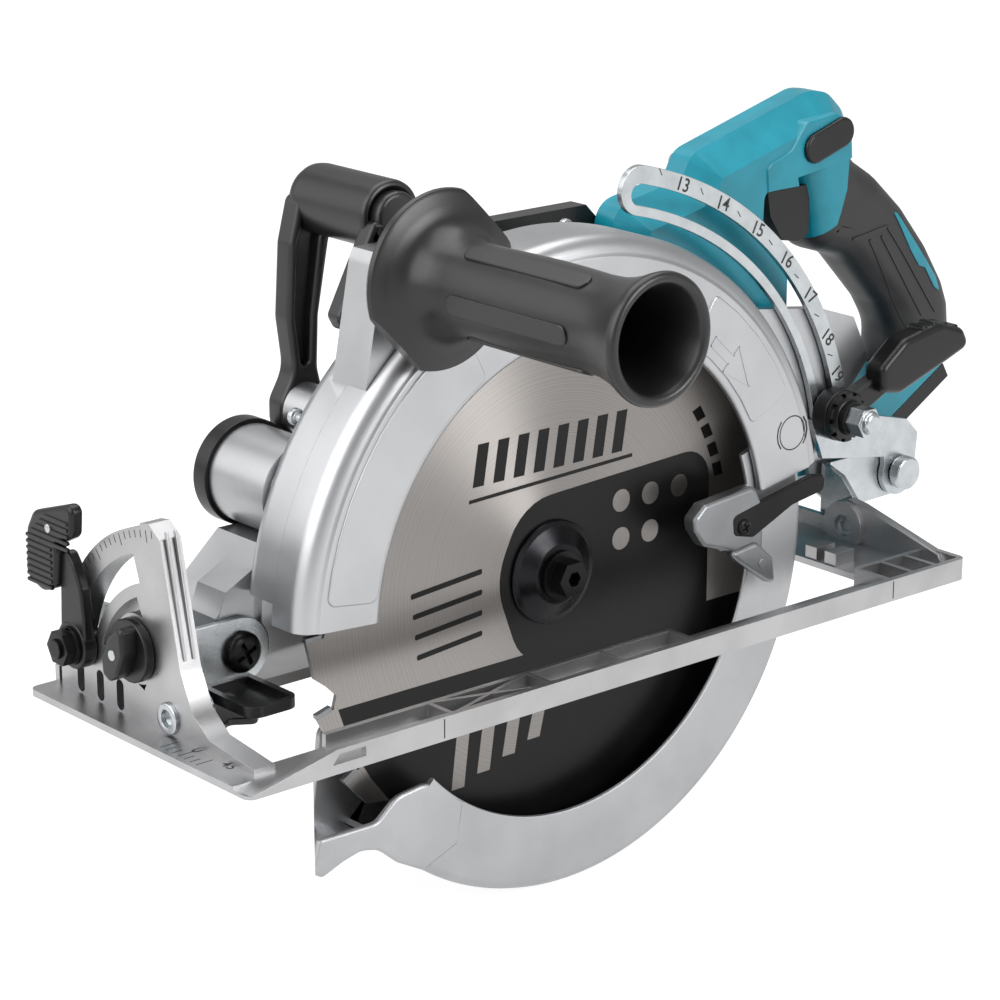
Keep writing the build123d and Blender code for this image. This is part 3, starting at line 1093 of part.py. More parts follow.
def bevel_lever():
    start = BEVEL_FACE_X + 0.4
    end = BEVEL_FACE_X + BEVEL_LEVER_T
    y, z = CLAMP_Y_AT, CLAMP_Z_AT
    arm = outline(
        (y - 8, z), (y + 9.5, z), (y + 9.5, z + 14), (y + 8, z + 25), (y + 3, z + 35), (y - 1, z + 40),
        (y - 6, z + 37),
    )
    arm += Pos(y, z) * Circle(10.0)
    lever = along_x(arm, start, end)
    pad = outline(
        (y - 6, z + 23), (y - 4.5, z + 40), (y + 7, z + 47), (y + 8, z + 58), (y + 5, z + 60.5),
        (y - 21, z + 52), (y - 26, z + 44), (y - 28, z + 23), (y - 16, z + 19),
    )
    lever += along_x(pad, end - 4, end + 3)
    return lever - rod_x(BEVEL_BOLT_D / 2 + RUN_FIT, start - 1, end + 4, y, z)


def bevel_nut():
    start = BEVEL_FACE_X + BEVEL_LEVER_T
    end = start + BEVEL_NUT_T
    face = Pos(CLAMP_Y_AT, CLAMP_Z_AT) * RegularPolygon(BEVEL_NUT_AF / sqrt(3), 6)
    nut = along_x(face, start, end)
    nut += rod_x(BEVEL_NUT_AF * 0.62, start, start + 1.5, CLAMP_Y_AT, CLAMP_Z_AT)
    return nut - rod_x(BEVEL_BOLT_D / 2 + RUN_FIT, start - 1, end + 1, CLAMP_Y_AT, CLAMP_Z_AT)


def stop_knob():
    start = BEVEL_FACE_X + 0.3
    knob = rod_x(KNOB_D / 2, start, start + 4, KNOB_Y, KNOB_Z)
    grip = Pos(KNOB_Y, KNOB_Z) * Rot(0, 0, 65) * Rectangle(KNOB_D - 1, 11)
    knob += along_x(grip, start + 3, start + KNOB_T)
    return knob + rod_x(KNOB_PIN_R, BEVEL_BACK_X + 1, start + 1, KNOB_Y, KNOB_Z)


# Depth pieces
def turn_point(centre, point, angle):
    dx, dz = point[0] - centre[0], point[1] - centre[1]
    c, s = cos(radians(angle)), sin(radians(angle))
    return (centre[0] + dx * c - dz * s, centre[1] + dx * s + dz * c)


def guide_slot_point(depth_deg):
    """Where the clamp bolt stands in the guide when the saw is raised by depth_deg."""
    bolt = turn_point((DEPTH_X, DEPTH_Z), (CLAMP_X, CLAMP_Z), -depth_deg)
    return turn_point((PIN_X, PIN_Z), bolt, -GUIDE_RATIO * depth_deg)


def guide_path():
    ends = 1.5
    steps = [-ends + (DEPTH_MAX_DEG + 2 * ends) * n / GUIDE_STEPS for n in range(GUIDE_STEPS + 1)]
    return [guide_slot_point(step) for step in steps]


def band(path, above, below):
    """A flat strip along a smooth path, reaching so far above and below it, with round ends."""
    line = Spline(*path)
    left = []
    right = []
    for n in range(GUIDE_STEPS + 1):
        share = n / GUIDE_STEPS
        side = (line % share).rotate(Axis.Z, 90)
        left.append(line @ share + side * above)
        right.append(line @ share - side * below)
    edge_a = Spline(*left)
    edge_b = Spline(*right)
    half = (above + below) / 2
    cap_a = ThreePointArc(left[0], (left[0] + right[0]) / 2 - (line % 0) * half, right[0])
    cap_b = ThreePointArc(left[-1], (left[-1] + right[-1]) / 2 + (line % 1) * half, right[-1])
    return make_face([edge_a, edge_b, cap_a, cap_b])


def depth_guide():
    path = guide_path()
    half = GUIDE_SLOT_W / 2
    slot = band(path, half, half)
    body = band(path, half + GUIDE_OUTER_BAND, half + GUIDE_INNER_BAND)
    x, z = path[0]
    tail = outline(
        (x + 12, z + 6), (x + 4, z - 14), (PIN_X + 11, PIN_Z + 9), (PIN_X + 9, PIN_Z - 6),
        (PIN_X - 10, PIN_Z - 4), (PIN_X - 12, PIN_Z + 17), (PIN_X - 4, PIN_Z + 25), (x - 14, z + 5),
    )
    tail += Pos(PIN_X, PIN_Z) * Circle(11.5)
    face = body + tail - slot - Pos(PIN_X, PIN_Z) * Circle(PIN_D / 2 + RUN_FIT)
    return across_y(face, GUIDE_FAR_Y, GUIDE_NEAR_Y)


def guide_pin():
    near = GUIDE_NEAR_Y + 0.4
    pin = rod_y(PIN_D / 2, REAR_LEG_FAR_Y, near, PIN_X, PIN_Z)
    return pin + rod_y(PIN_HEAD_R, near, near + 6.0, PIN_X, PIN_Z)


def depth_screw():
    far = BRACKET_LEG_FAR_Y - MOVE_GAP - 17.0
    screw = rod_y(DEPTH_SCREW_D / 2, far, BRACKET_LEG_NEAR_Y, DEPTH_X, DEPTH_Z)
    head = rod_y(8.5, BRACKET_LEG_NEAR_Y, BRACKET_LEG_NEAR_Y + 4.5, DEPTH_X, DEPTH_Z)
    head = fillet(head.edges().group_by(Axis.Y)[-1], 2.5)
    return screw + head


def depth_bolt():
    near = DEPTH_NUT_Y + DEPTH_NUT_T - 2 - MOVE_GAP
    head = REAR_ARM_Y - REAR_ARM_T
    bolt = rod_y(CLAMP_BOLT_D / 2, head, near, CLAMP_X, CLAMP_Z)
    return bolt + rod_y(CLAMP_BOLT_D * 0.9, HANDLE_NEAR_Y + MOVE_GAP, head, CLAMP_X, CLAMP_Z)


def depth_lever():
    start = DEPTH_LEVER_Y
    end = DEPTH_COLLAR_Y
    hole = rod_y(CLAMP_BOLT_D / 2 + RUN_FIT, start - 1, end + 8, CLAMP_X, CLAMP_Z)
    x, z = CLAMP_X, CLAMP_Z
    arm = outline(
        (x + 4, z + 10.5), (x - 6, z + 13), (x - 17, z + 22), (x - 38, z + 21), (x - 38, z + 9),
        (x - 12, z - 3),
    )
    arm += Pos(x, z) * Circle(12.0)
    pad = outline(
        (x - 16, z + 23), (x - 33, z + 32), (x - 60, z + 35.5), (x - 76, z + 30), (x - 81, z + 21),
        (x - 65, z + 15.5), (x - 34, z + 6.5), (x - 18, z + 11),
    )
    lever = across_y(arm, start, end) + across_y(pad, start + 2, end + 6)
    return lever - hole


def depth_collar():
    ring = rod_y(12.0, DEPTH_COLLAR_Y, DEPTH_NUT_Y, CLAMP_X, CLAMP_Z)
    ring = fillet(ring.edges().group_by(Axis.Y)[-1], 2.0)
    return ring - rod_y(CLAMP_BOLT_D / 2 + RUN_FIT, DEPTH_COLLAR_Y - 1, DEPTH_NUT_Y + 1, CLAMP_X, CLAMP_Z)


def depth_nut():
    end = DEPTH_NUT_Y + DEPTH_NUT_T
    nut = hex_y(13.0, DEPTH_NUT_Y, end - 3, CLAMP_X, CLAMP_Z)
    dome = rod_y(5.5, end - 3, end, CLAMP_X, CLAMP_Z)
    nut += fillet(dome.edges().group_by(Axis.Y)[-1], 2.4)
    return nut - rod_y(CLAMP_BOLT_D / 2 + RUN_FIT, DEPTH_NUT_Y - 1, end - 2, CLAMP_X, CLAMP_Z)


# Rear handle
def lock_face(margin):
    button = SlotOverall(LOCK_LENGTH + 2 * margin, LOCK_W + 2 * margin, rotation=LOCK_TILT_DEG)
    return Pos(LOCK_X, LOCK_Z) * button


def handle_face():
    """The handle's side outline, drawn in under the rubber overmould."""
    whole = outline(*HANDLE_OUTLINE) - outline(*HAND_HOLE)
    zone = outline(*GRIP_ZONE)
    core = offset(whole, -OVERMOULD_T) & zone
    return (whole - zone) + core


def motor_room():
    """What the motor and the gear housing take out of the handle."""
    room = rod_y(MOTOR_FLANGE_R + SEAT_GAP, HANDLE_FAR_Y - 5, HANDLE_NEAR_Y + 5, MOTOR_X, MOTOR_Z)
    rear = MOTOR_TOP_REAR_X - SEAT_GAP
    return room + block(rear, 0, HANDLE_FAR_Y - 5, HANDLE_NEAR_Y + 5, MOTOR_Z, MOTOR_TOP_Z + 10)


def handle_shell(outer_y, split_y):
    """One half of the handle: a hollow shell with screw bosses, between its side and the split."""
    low, high = min(outer_y, split_y), max(outer_y, split_y)
    face = handle_face()
    inside = offset(face, -HANDLE_WALL)
    room_low = low + HANDLE_WALL if outer_y < split_y else low
    room_high = high if outer_y < split_y else high - HANDLE_WALL
    shell = across_y(face, low, high) - motor_room()
    room = across_y(inside, room_low, room_high)
    for x, z in SHELL_SCREW_PLACES:
        room -= rod_y(SHELL_BOSS_D / 2, room_low, room_high, x, z)
    shell -= room
    shell -= across_y(lock_face(SEAT_GAP * 3), HANDLE_FAR_Y - 1, HANDLE_NEAR_Y + 1)
    (x0, x1), (z0, z1) = TRIGGER_SLOT
    slot_half = TRIGGER_W / 2 + SEAT_GAP
    shell -= block(x0, x1, HANDLE_Y - slot_half, HANDLE_Y + slot_half, z0, z1)
    recess = Box(TERMINAL_LENGTH * 2, 2 * (HANDLE_HALF - HANDLE_WALL), TERMINAL_RECESS + 1)
    shell -= underside() * Pos(SEAT_GAP - TERMINAL_LENGTH / 2, 0, (TERMINAL_RECESS - 1) / 2) * recess
    for x, z in SHELL_SCREW_PLACES:
        shell -= rod_y(SHELL_SCREW_D / 2 + RUN_FIT, HANDLE_FAR_Y - 1, HANDLE_NEAR_Y - HANDLE_WALL, x, z)
        shell -= rod_y(SHELL_SCREW_D + SEAT_GAP, HANDLE_FAR_Y - 1, HANDLE_FAR_Y + 4, x, z)
    return shell


def shell_screws():
    screws = Part()
    for x, z in SHELL_SCREW_PLACES:
        screws += rod_y(SHELL_SCREW_D / 2, HANDLE_FAR_Y + 4, HANDLE_NEAR_Y - HANDLE_WALL - 1, x, z)
        screws += rod_y(SHELL_SCREW_D, HANDLE_FAR_Y + 1, HANDLE_FAR_Y + 4, x, z)
    return screws


def handle_grip():
    """Rubber overmould round the rear of the handle."""
    whole = outline(*HANDLE_OUTLINE) - outline(*HAND_HOLE)
    zone = outline(*GRIP_ZONE)
    core = offset(whole, -OVERMOULD_T)
    grip = across_y(whole & zone, HANDLE_FAR_Y - OVERMOULD_T, HANDLE_NEAR_Y + OVERMOULD_T)
    grip -= across_y(core, HANDLE_FAR_Y, HANDLE_NEAR_Y)
    grip -= across_y(lock_face(SEAT_GAP * 3), HANDLE_FAR_Y - 5, HANDLE_NEAR_Y + 5)
    for x, z in SHELL_SCREW_PLACES:
        grip -= rod_y(SHELL_SCREW_D + SEAT_GAP, HANDLE_FAR_Y - 5, HANDLE_FAR_Y + 1, x, z)
    return grip


def trigger():
    body = across_y(outline(*TRIGGER_OUTLINE), HANDLE_Y - TRIGGER_W / 2, HANDLE_Y + TRIGGER_W / 2)
    stem_end = SWITCH_BOX[0][1] + TRIGGER_TRAVEL + 1.0
    return body + rod_x(TRIGGER_STEM_R, stem_end, -190, HANDLE_Y, TRIGGER_STEM_Z)


def lock_off_button():
    proud = LOCK_PROUD + OVERMOULD_T
    return across_y(lock_face(0), HANDLE_FAR_Y - proud, HANDLE_NEAR_Y + proud)


def inner_box(span):
    """A module that fills the handle's inner width."""
    (x0, x1), (z0, z1) = span
    depth = HANDLE_HALF - HANDLE_WALL - RUN_FIT
    return block(x0, x1, HANDLE_Y - depth, HANDLE_Y + depth, z0, z1)


def underside():
    """Middle of the handle's sloping underside, turned to lie along it."""
    (xa, za), (xb, zb) = UNDERSIDE_REAR, UNDERSIDE_FRONT
    lean = degrees(atan2(zb - za, xb - xa))
    return Pos((xa + xb) / 2, HANDLE_Y, (za + zb) / 2) * Rot(0, -lean, 0)


def terminal_plate():
    """Black plate with two rails in the handle's underside, where a battery slides on."""
    half = HANDLE_HALF - HANDLE_WALL - SEAT_GAP
    plate = Pos(0, 0, TERMINAL_RECESS - 1.55) * Box(TERMINAL_LENGTH, 2 * half, 3.0)
    for side in (-1, 1):
        plate += Pos(0, side * (half - 1.5), TERMINAL_RECESS - 5.6) * Box(TERMINAL_LENGTH, 3.0, 5.2)
        plate += Pos(0, side * (half - 3.5), TERMINAL_RECESS - 7.2) * Box(TERMINAL_LENGTH, 3.0, 2.0)
    return underside() * plate


def terminal_blades():
    blades = Part()
    for n in (-1, 0, 1):
        blades += Pos(8, n * 6.0, TERMINAL_RECESS - 5.6) * Box(18, 0.9, 5.0)
    return underside() * blades


def pieces():
    return {
        "base_plate": base_plate(),
        "bevel_pins": bevel_pins(),
        "stop_knob": stop_knob(),
        "front_bracket": front_bracket(),
        "front_tray": front_tray(),
        "rear_bracket": rear_bracket(),
        "bevel_clamp_bolt": clamp_bolt(),
        "bevel_lever": bevel_lever(),
        "bevel_nut": bevel_nut(),
        "depth_guide": depth_guide(),
        "guide_pin": guide_pin(),
        "depth_screw": depth_screw(),
        "depth_bolt": depth_bolt(),
        "depth_lever": depth_lever(),
        "depth_collar": depth_collar(),
        "depth_nut": depth_nut(),
        "blade_case": blade_case(),
        "guard_cover": guard_cover(),
        "cover_screws": cover_screws(),
        "dust_ring": dust_ring(),
        "side_grip": side_grip(),
        "side_grip_stud": side_grip_stud(),
        "loop_handle": loop_handle(),
        "loop_bolt": loop_bolt(),
        "lower_guard": lower_guard(),
        "guard_lever": guard_lever(),
        "guard_wing": guard_wing(),
        "guard_screw": guard_screw(),
        "guard_ring": guard_ring(),
        "guard_spring": guard_spring(),
        "blade": blade(),
        "inner_flange": inner_flange(),
        "outer_flange": outer_flange(),
        "blade_bolt": blade_bolt(),
        "spindle": spindle(),
        "spindle_gear": spindle_gear(),
        "spindle_bearings": spindle_bearings(),
        "lay_shaft": lay_shaft(),
        "lay_gear": lay_gear(),
        "lay_bearings": lay_bearings(),
        "gear_housing": gear_housing(),
        "shaft_lock": shaft_lock(),
        "bearing_plate": bearing_plate(),
        "motor_housing": motor_housing(),
        "motor_screws": motor_screws(),
        "stator": stator(),
        "rotor_shaft": rotor_shaft(),
        "rotor_core": rotor_core(),
        "cooling_fan": cooling_fan(),
        "rotor_bearings": rotor_bearings(),
        "handle_shell_near": handle_shell(HANDLE_NEAR_Y, HANDLE_Y),
        "handle_shell_far": handle_shell(HANDLE_FAR_Y, HANDLE_Y),
        "handle_grip": handle_grip(),
        "shell_screws": shell_screws(),
        "trigger": trigger(),
        "lock_off_button": lock_off_button(),
        "switch_unit": inner_box(SWITCH_BOX),
        "controller": inner_box(CONTROLLER_BOX),
        "terminal_plate": terminal_plate(),
        "terminal_blades": terminal_blades(),
    }


os.makedirs("parts", exist_ok=True)
for node, shape in pieces().items():
    export_step(shape, f"parts/{node}.step")
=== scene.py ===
from math import asin, cos, degrees as math_degrees, pi, radians, sin, tan

import bmesh
import bpy
from mathutils import Matrix, Vector


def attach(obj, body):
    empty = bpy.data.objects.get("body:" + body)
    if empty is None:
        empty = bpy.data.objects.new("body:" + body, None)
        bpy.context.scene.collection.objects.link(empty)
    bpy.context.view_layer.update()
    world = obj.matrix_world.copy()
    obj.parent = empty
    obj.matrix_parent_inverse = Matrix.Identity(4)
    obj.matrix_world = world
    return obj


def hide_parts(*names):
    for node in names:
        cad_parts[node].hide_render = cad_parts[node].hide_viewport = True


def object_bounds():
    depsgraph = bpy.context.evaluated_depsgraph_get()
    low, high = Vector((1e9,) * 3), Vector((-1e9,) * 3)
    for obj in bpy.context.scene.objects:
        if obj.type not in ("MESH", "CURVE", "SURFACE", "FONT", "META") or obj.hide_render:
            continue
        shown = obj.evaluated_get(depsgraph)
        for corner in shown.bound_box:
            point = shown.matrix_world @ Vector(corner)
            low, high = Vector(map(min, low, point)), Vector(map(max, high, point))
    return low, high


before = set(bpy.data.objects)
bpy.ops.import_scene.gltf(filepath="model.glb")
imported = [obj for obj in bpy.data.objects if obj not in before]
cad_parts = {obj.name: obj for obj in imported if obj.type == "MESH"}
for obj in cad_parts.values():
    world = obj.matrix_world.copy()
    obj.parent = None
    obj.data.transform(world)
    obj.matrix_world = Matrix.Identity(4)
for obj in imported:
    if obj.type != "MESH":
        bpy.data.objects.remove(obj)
cad_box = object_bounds()
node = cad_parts

# Base plate: one aluminium die casting with a wall all round, ribs and the upright bevel plate in front.
# It is shot-blasted and left bare, and its cast edges are rounded over. The saw is pinned to it at both ends.
MM = 0.001
WELD_GAP = 0.01 * MM
FLAT_DEG = 0.5
EDGE_DEG = 32.0
NORMAL_WEIGHT = 80


def linear(hex_code):
    """An sRGB hex colour as linear red, green, blue and alpha."""
    parts = [int(hex_code[n : n + 2], 16) / 255 for n in (1, 3, 5)]
    return [p / 12.92 if p <= 0.04045 else ((p + 0.055) / 1.055) ** 2.4 for p in parts] + [1.0]


def fill(tree, made, inputs):
    """Fills a shader node's inputs with values, or with other nodes' outputs."""
    for socket, value in inputs.items():
        if isinstance(value, bpy.types.NodeSocket):
            tree.links.new(value, made.inputs[socket])
        else:
            made.inputs[socket].default_value = value


def add_node(tree, kind, inputs, **settings):
    """Adds a shader node, sets its properties and fills its inputs."""
    made = tree.nodes.new(kind)
    for key, value in settings.items():
        setattr(made, key, value)
    fill(tree, made, inputs)
    return made


def start_finish(name):
    """A new material, with its node tree, its shader and the piece's own coordinates."""
    material = bpy.data.materials.new(name)
    material.use_nodes = True
    tree = material.node_tree
    place = add_node(tree, "ShaderNodeTexCoord", {}).outputs["Object"]
    return material, tree, tree.nodes["Principled BSDF"], place


def noise(tree, place, size_mm, detail):
    """Soft noise whose clouds are about that size."""
    inputs = {"Vector": place, "Scale": 1 / (size_mm * MM), "Detail": detail}
    return add_node(tree, "ShaderNodeTexNoise", inputs).outputs["Fac"]


def two_tone(tree, share, dark, pale, low=0.3, high=0.7):
    """A colour that runs from dark to pale while the share rises from low to high."""
    tone = add_node(tree, "ShaderNodeValToRGB", {"Fac": share})
    for element, position, hex_code in zip(tone.color_ramp.elements, (low, high), (dark, pale)):
        element.position = position
        element.color = linear(hex_code)
    return tone.outputs["Color"]


def between(tree, share, low, high):
    """A value that runs from low to high with the share."""
    inputs = {"Value": share, "To Min": low, "To Max": high}
    return add_node(tree, "ShaderNodeMapRange", inputs).outputs["Result"]


def bumped(tree, height, strength, high_mm):
    """A normal that follows a relief of so many millimetres."""
    inputs = {"Height": height, "Strength": strength, "Distance": high_mm * MM}
    return add_node(tree, "ShaderNodeBump", inputs).outputs["Normal"]


def cast_metal(name, pale, dark, roughness, grain_mm, bump_mm, metallic=1.0):
    """Blasted casting: a clouded tone over the hand's breadth, and a fine grain that scatters the light."""
    material, tree, shader, place = start_finish(name)
    cloud = noise(tree, place, 30.0, 4.0)
    grain = noise(tree, place, grain_mm, 2.0)
    fill(tree, shader, {
        "Base Color": two_tone(tree, cloud, dark, pale, 0.35, 0.65),
        "Roughness": between(tree, grain, roughness - 0.07, roughness + 0.07),
        "Normal": bumped(tree, grain, 0.6, bump_mm),
        "Metallic": metallic,
    })
    return material


def ease_edges(part, width_mm, segments=2):
    """Rounds a CAD node's sharp edges: its loose triangles are welded, flat ones joined, then bevelled."""
    weld = part.modifiers.new("weld", "WELD")
    weld.merge_threshold = WELD_GAP
    flat = part.modifiers.new("flat", "DECIMATE")
    flat.decimate_type = "DISSOLVE"
    flat.angle_limit = radians(FLAT_DEG)
    ease = part.modifiers.new("ease", "BEVEL")
    ease.width = width_mm * MM
    ease.segments = segments
    ease.limit_method = "ANGLE"
    ease.angle_limit = radians(EDGE_DEG)
    ease.use_clamp_overlap = True
    ease.miter_outer = "MITER_ARC"
    shade = part.modifiers.new("shade", "WEIGHTED_NORMAL")
    shade.weight = NORMAL_WEIGHT


def dress(name, material, width_mm=0.0, segments=2):
    """Gives a CAD node its finish, and rounds its edges."""
    part = node[name]
    part.data.materials.clear()
    part.data.materials.append(material)
    if width_mm:
        ease_edges(part, width_mm, segments)


base_casting = cast_metal("blasted_cast_aluminium", "#b4b4b5", "#a6a6a7", 0.36, 0.9, 0.05)
dress("base_plate", base_casting, 0.7)

# Base marks: the lines struck into the lip, the near wall and the bevel plate, with two figures.
# They are filled with matt black paint, a little uneven where it is thin, and stand hardly proud.
SHARP_DEG = 38.0
BOLDER = 0.014


def finish_piece(bm, name, materials, body, replaced=(), sharp_deg=SHARP_DEG):
    """Turns a bmesh into a piece that rides on a body and stands for the CAD nodes it replaces."""
    mesh = bpy.data.meshes.new(name)
    bm.to_mesh(mesh)
    bm.free()
    for material in materials:
        mesh.materials.append(material)
    mesh.shade_smooth()
    mesh.set_sharp_from_angle(angle=radians(sharp_deg))
    piece = bpy.data.objects.new(name, mesh)
    bpy.context.collection.objects.link(piece)
    shade = piece.modifiers.new("shade", "WEIGHTED_NORMAL")
    shade.weight = NORMAL_WEIGHT
    shade.keep_sharp = True
    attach(piece, body)
    if replaced:
        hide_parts(*replaced)
    return piece


def add_bar(bm, length, width, height, place):
    """Adds a small box of that size in mm, put in place by a matrix."""
    size = Matrix.Diagonal((length * MM, width * MM, height * MM, 1.0))
    bmesh.ops.create_cube(bm, size=1.0, matrix=place @ size)


def shift(x, y, z):
    """A move by millimetres."""
    return Matrix.Translation((x * MM, y * MM, z * MM))


def as_mesh(holder):
    """The mesh that an object's curve or modifiers make."""
    return bpy.data.meshes.new_from_object(holder.evaluated_get(bpy.context.evaluated_depsgraph_get()))


def add_text(bm, words, size_mm, place):
    """Adds flat figures of a plain typeface, made a little bolder and put in place by a matrix."""
    curve = bpy.data.curves.new("figures", "FONT")
    curve.body = words
    curve.size = size_mm * MM
    curve.offset = size_mm * MM * BOLDER
    curve.align_x = "CENTER"
    curve.align_y = "CENTER"
    holder = bpy.data.objects.new("figures", curve)
    bpy.context.collection.objects.link(holder)
    mesh = as_mesh(holder)
    bpy.data.objects.remove(holder)
    bpy.data.curves.remove(curve)
    mesh.transform(place)
    bm.from_mesh(mesh)
    bpy.data.meshes.remove(mesh)


mark_paint, paint_tree, paint_shader, paint_place = start_finish("matt_black_paint")
paint_cloud = noise(paint_tree, paint_place, 1.5, 2.0)
fill(paint_tree, paint_shader, {
    "Base Color": two_tone(paint_tree, paint_cloud, "#161616", "#2b2b2b", 0.0, 1.0),
    "Roughness": 0.6,
})

BASE_NEAR = 57.0
LIP_Z = 3.0
LIP_TICKS = 7
TICK_STEP = 4.0
TICK_END_X = 197.5
FIRST_TICK_Y = 20.0
FIGURE_X = 188.5
MARK_PROUD = 0.04
MARK_DEEP = MARK_PROUD * 2
marks = bmesh.new()
for tick in range(LIP_TICKS):
    length = 8.0 if tick % 3 == 0 else 5.0
    spot = shift(TICK_END_X - length / 2, FIRST_TICK_Y - tick * TICK_STEP, LIP_Z)
    add_bar(marks, length, 0.5, MARK_DEEP, spot)
WALL_MARKS_X = (105.0, -152.0)
WALL_MARKS_Z = 5.2
for x in WALL_MARKS_X:
    add_bar(marks, 0.6, MARK_DEEP, 8.0, shift(x, BASE_NEAR, WALL_MARKS_Z))
up_front = Matrix.Rotation(radians(90), 4, "Z")
for words, figure_y in (("0", 8.0), ("45", 29.0)):
    add_text(marks, words, 7.0, shift(FIGURE_X, figure_y, LIP_Z + MARK_PROUD) @ up_front)
BEVEL_FACE_X = 187.0
BEVEL_Y = -12.0
BEVEL_Z = 10.0
BOLT_DEG = 164.5
SCALE_DEG = BOLT_DEG - 20.0
SCALE_R = 75.0
SCALE_END = 48
SCALE_STEP = 3
for degree in range(0, SCALE_END + 1, SCALE_STEP):
    turn = radians(SCALE_DEG - degree)
    length = 5.0 if degree % 15 == 0 else 3.0
    reach = SCALE_R - length / 2
    spot = shift(BEVEL_FACE_X, BEVEL_Y + reach * cos(turn), BEVEL_Z + reach * sin(turn))
    add_bar(marks, MARK_DEEP, length, 0.45, spot @ Matrix.Rotation(turn, 4, "X"))
finish_piece(marks, "base_marks", [mark_paint], "base")

# Bevel brackets: bent steel strip, zinc plated, bright grey with a faint crystal cloud. The front one carries
# the depth screw, the rear one the guide's pin.


def zinc_plate(name, pale, dark, roughness):
    """Zinc plating on pressed steel: a cool bright metal, clouded, with a fine grain."""
    material, tree, shader, place = start_finish(name)
    cloud = noise(tree, place, 9.0, 5.0)
    scratch = noise(tree, place, 0.7, 1.0)
    fill(tree, shader, {
        "Base Color": two_tone(tree, cloud, dark, pale),
        "Roughness": between(tree, cloud, roughness - 0.06, roughness + 0.08),
        "Normal": bumped(tree, scratch, 0.35, 0.02),
        "Metallic": 1.0,
    })
    return material


zinc = zinc_plate("zinc_plated_steel", "#c2c6c8", "#b0b5b8", 0.27)
dress("front_bracket", zinc, 0.5)
dress("rear_bracket", zinc, 0.5)

# Tray below the depth screw: a small black moulding of glass-filled nylon, clipped to the front bracket.
# It tilts with the saw.


def moulded_plastic(name, pale, dark, roughness, grain_mm, bump_mm, gloss=0.5):
    """Moulded plastic with a spark-eroded mould's grain. Gloss is how much light its skin throws back."""
    material, tree, shader, place = start_finish(name)
    cloud = noise(tree, place, 14.0, 3.0)
    grain = add_node(tree, "ShaderNodeTexVoronoi", {"Vector": place, "Scale": 1 / (grain_mm * MM)})
    fill(tree, shader, {
        "Base Color": two_tone(tree, cloud, dark, pale),
        "Roughness": between(tree, cloud, roughness - 0.05, roughness + 0.05),
        "Normal": bumped(tree, grain.outputs["Distance"], 0.5, bump_mm),
        "IOR": 1.5,
        "Specular IOR Level": gloss,
    })
    return material


nylon = moulded_plastic("black_nylon", "#101011", "#0b0b0c", 0.33, 0.8, 0.03, gloss=0.36)
dress("front_tray", nylon, 0.5)

# Bevel clamp bolt and nut: black-oxide steel. The bolt goes through the arc slot, and the nut holds the
# lever on it.
black_oxide = cast_metal("black_oxide_steel", "#1c1c1d", "#131314", 0.3, 0.6, 0.02, metallic=0.7)
dress("bevel_clamp_bolt", black_oxide, 0.4)
dress("bevel_nut", black_oxide, 0.5)

# Bevel lever: a black moulding with a round hub, a short arm and a ribbed thumb pad bent outward. It clamps
# the bolt in the arc slot.
BOLT_R = 60.0
BOLT_Y = BEVEL_Y + BOLT_R * cos(radians(BOLT_DEG))
BOLT_Z = BEVEL_Z + BOLT_R * sin(radians(BOLT_DEG))
SAME_SPOT = 0.001 * MM


def take_in(bm, part, place=None):
    """Moves a part into place and adds it to the piece."""
    mesh = bpy.data.meshes.new("part")
    part.to_mesh(mesh)
    part.free()
    if place:
        mesh.transform(place)
    bm.from_mesh(mesh)
    bpy.data.meshes.remove(mesh)


def add_loop(curve, corners):
    """Adds a closed outline of corners in mm, each given as (a, b, radius) and rounded to that radius."""
    knots = []
    for n, (a, b, radius) in enumerate(corners):
        corner = Vector((a, b, 0.0)) * MM
        behind = Vector((*corners[n - 1][:2], 0.0)) * MM - corner
        ahead = Vector((*corners[(n + 1) % len(corners)][:2], 0.0)) * MM - corner
        if radius == 0:
            knots.append((corner, corner, corner, "VECTOR", "VECTOR"))
            continue
        half = behind.angle(ahead) / 2
        cut = radius * MM / tan(half)
        cut = min(cut, behind.length * 0.49, ahead.length * 0.49)
        pull = cut * (1 - 4 / 3 * tan((pi / 2 - half) / 2) * tan(half))
        start = corner + behind.normalized() * cut
        end = corner + ahead.normalized() * cut
        knots.append((start, start, corner + behind.normalized() * pull, "VECTOR", "FREE"))
        knots.append((end, corner + ahead.normalized() * pull, end, "FREE", "VECTOR"))
    spline = curve.splines.new("BEZIER")
    spline.use_cyclic_u = True
    spline.bezier_points.add(len(knots) - 1)
    for point, (co, left, right, left_kind, right_kind) in zip(spline.bezier_points, knots):
        point.handle_left_type = "FREE"
        point.handle_right_type = "FREE"
        point.co = co
        point.handle_left = left
        point.handle_right = right
        point.handle_left_type = left_kind
        point.handle_right_type = right_kind


def counterclockwise(corners, wanted):
    """The corners in the wanted sense of turning."""
    area = 0.0
    for n, (a, b, _) in enumerate(corners):
        area += corners[n - 1][0] * b - a * corners[n - 1][1]
    return list(corners) if (area > 0) == wanted else list(reversed(corners))


FACING = {
    "X": Matrix(((0, 0, 1, 0), (1, 0, 0, 0), (0, 1, 0, 0), (0, 0, 0, 1))),
    "Y": Matrix(((1, 0, 0, 0), (0, 0, -1, 0), (0, 1, 0, 0), (0, 0, 0, 1))),
    "Z": Matrix.Identity(4),
}


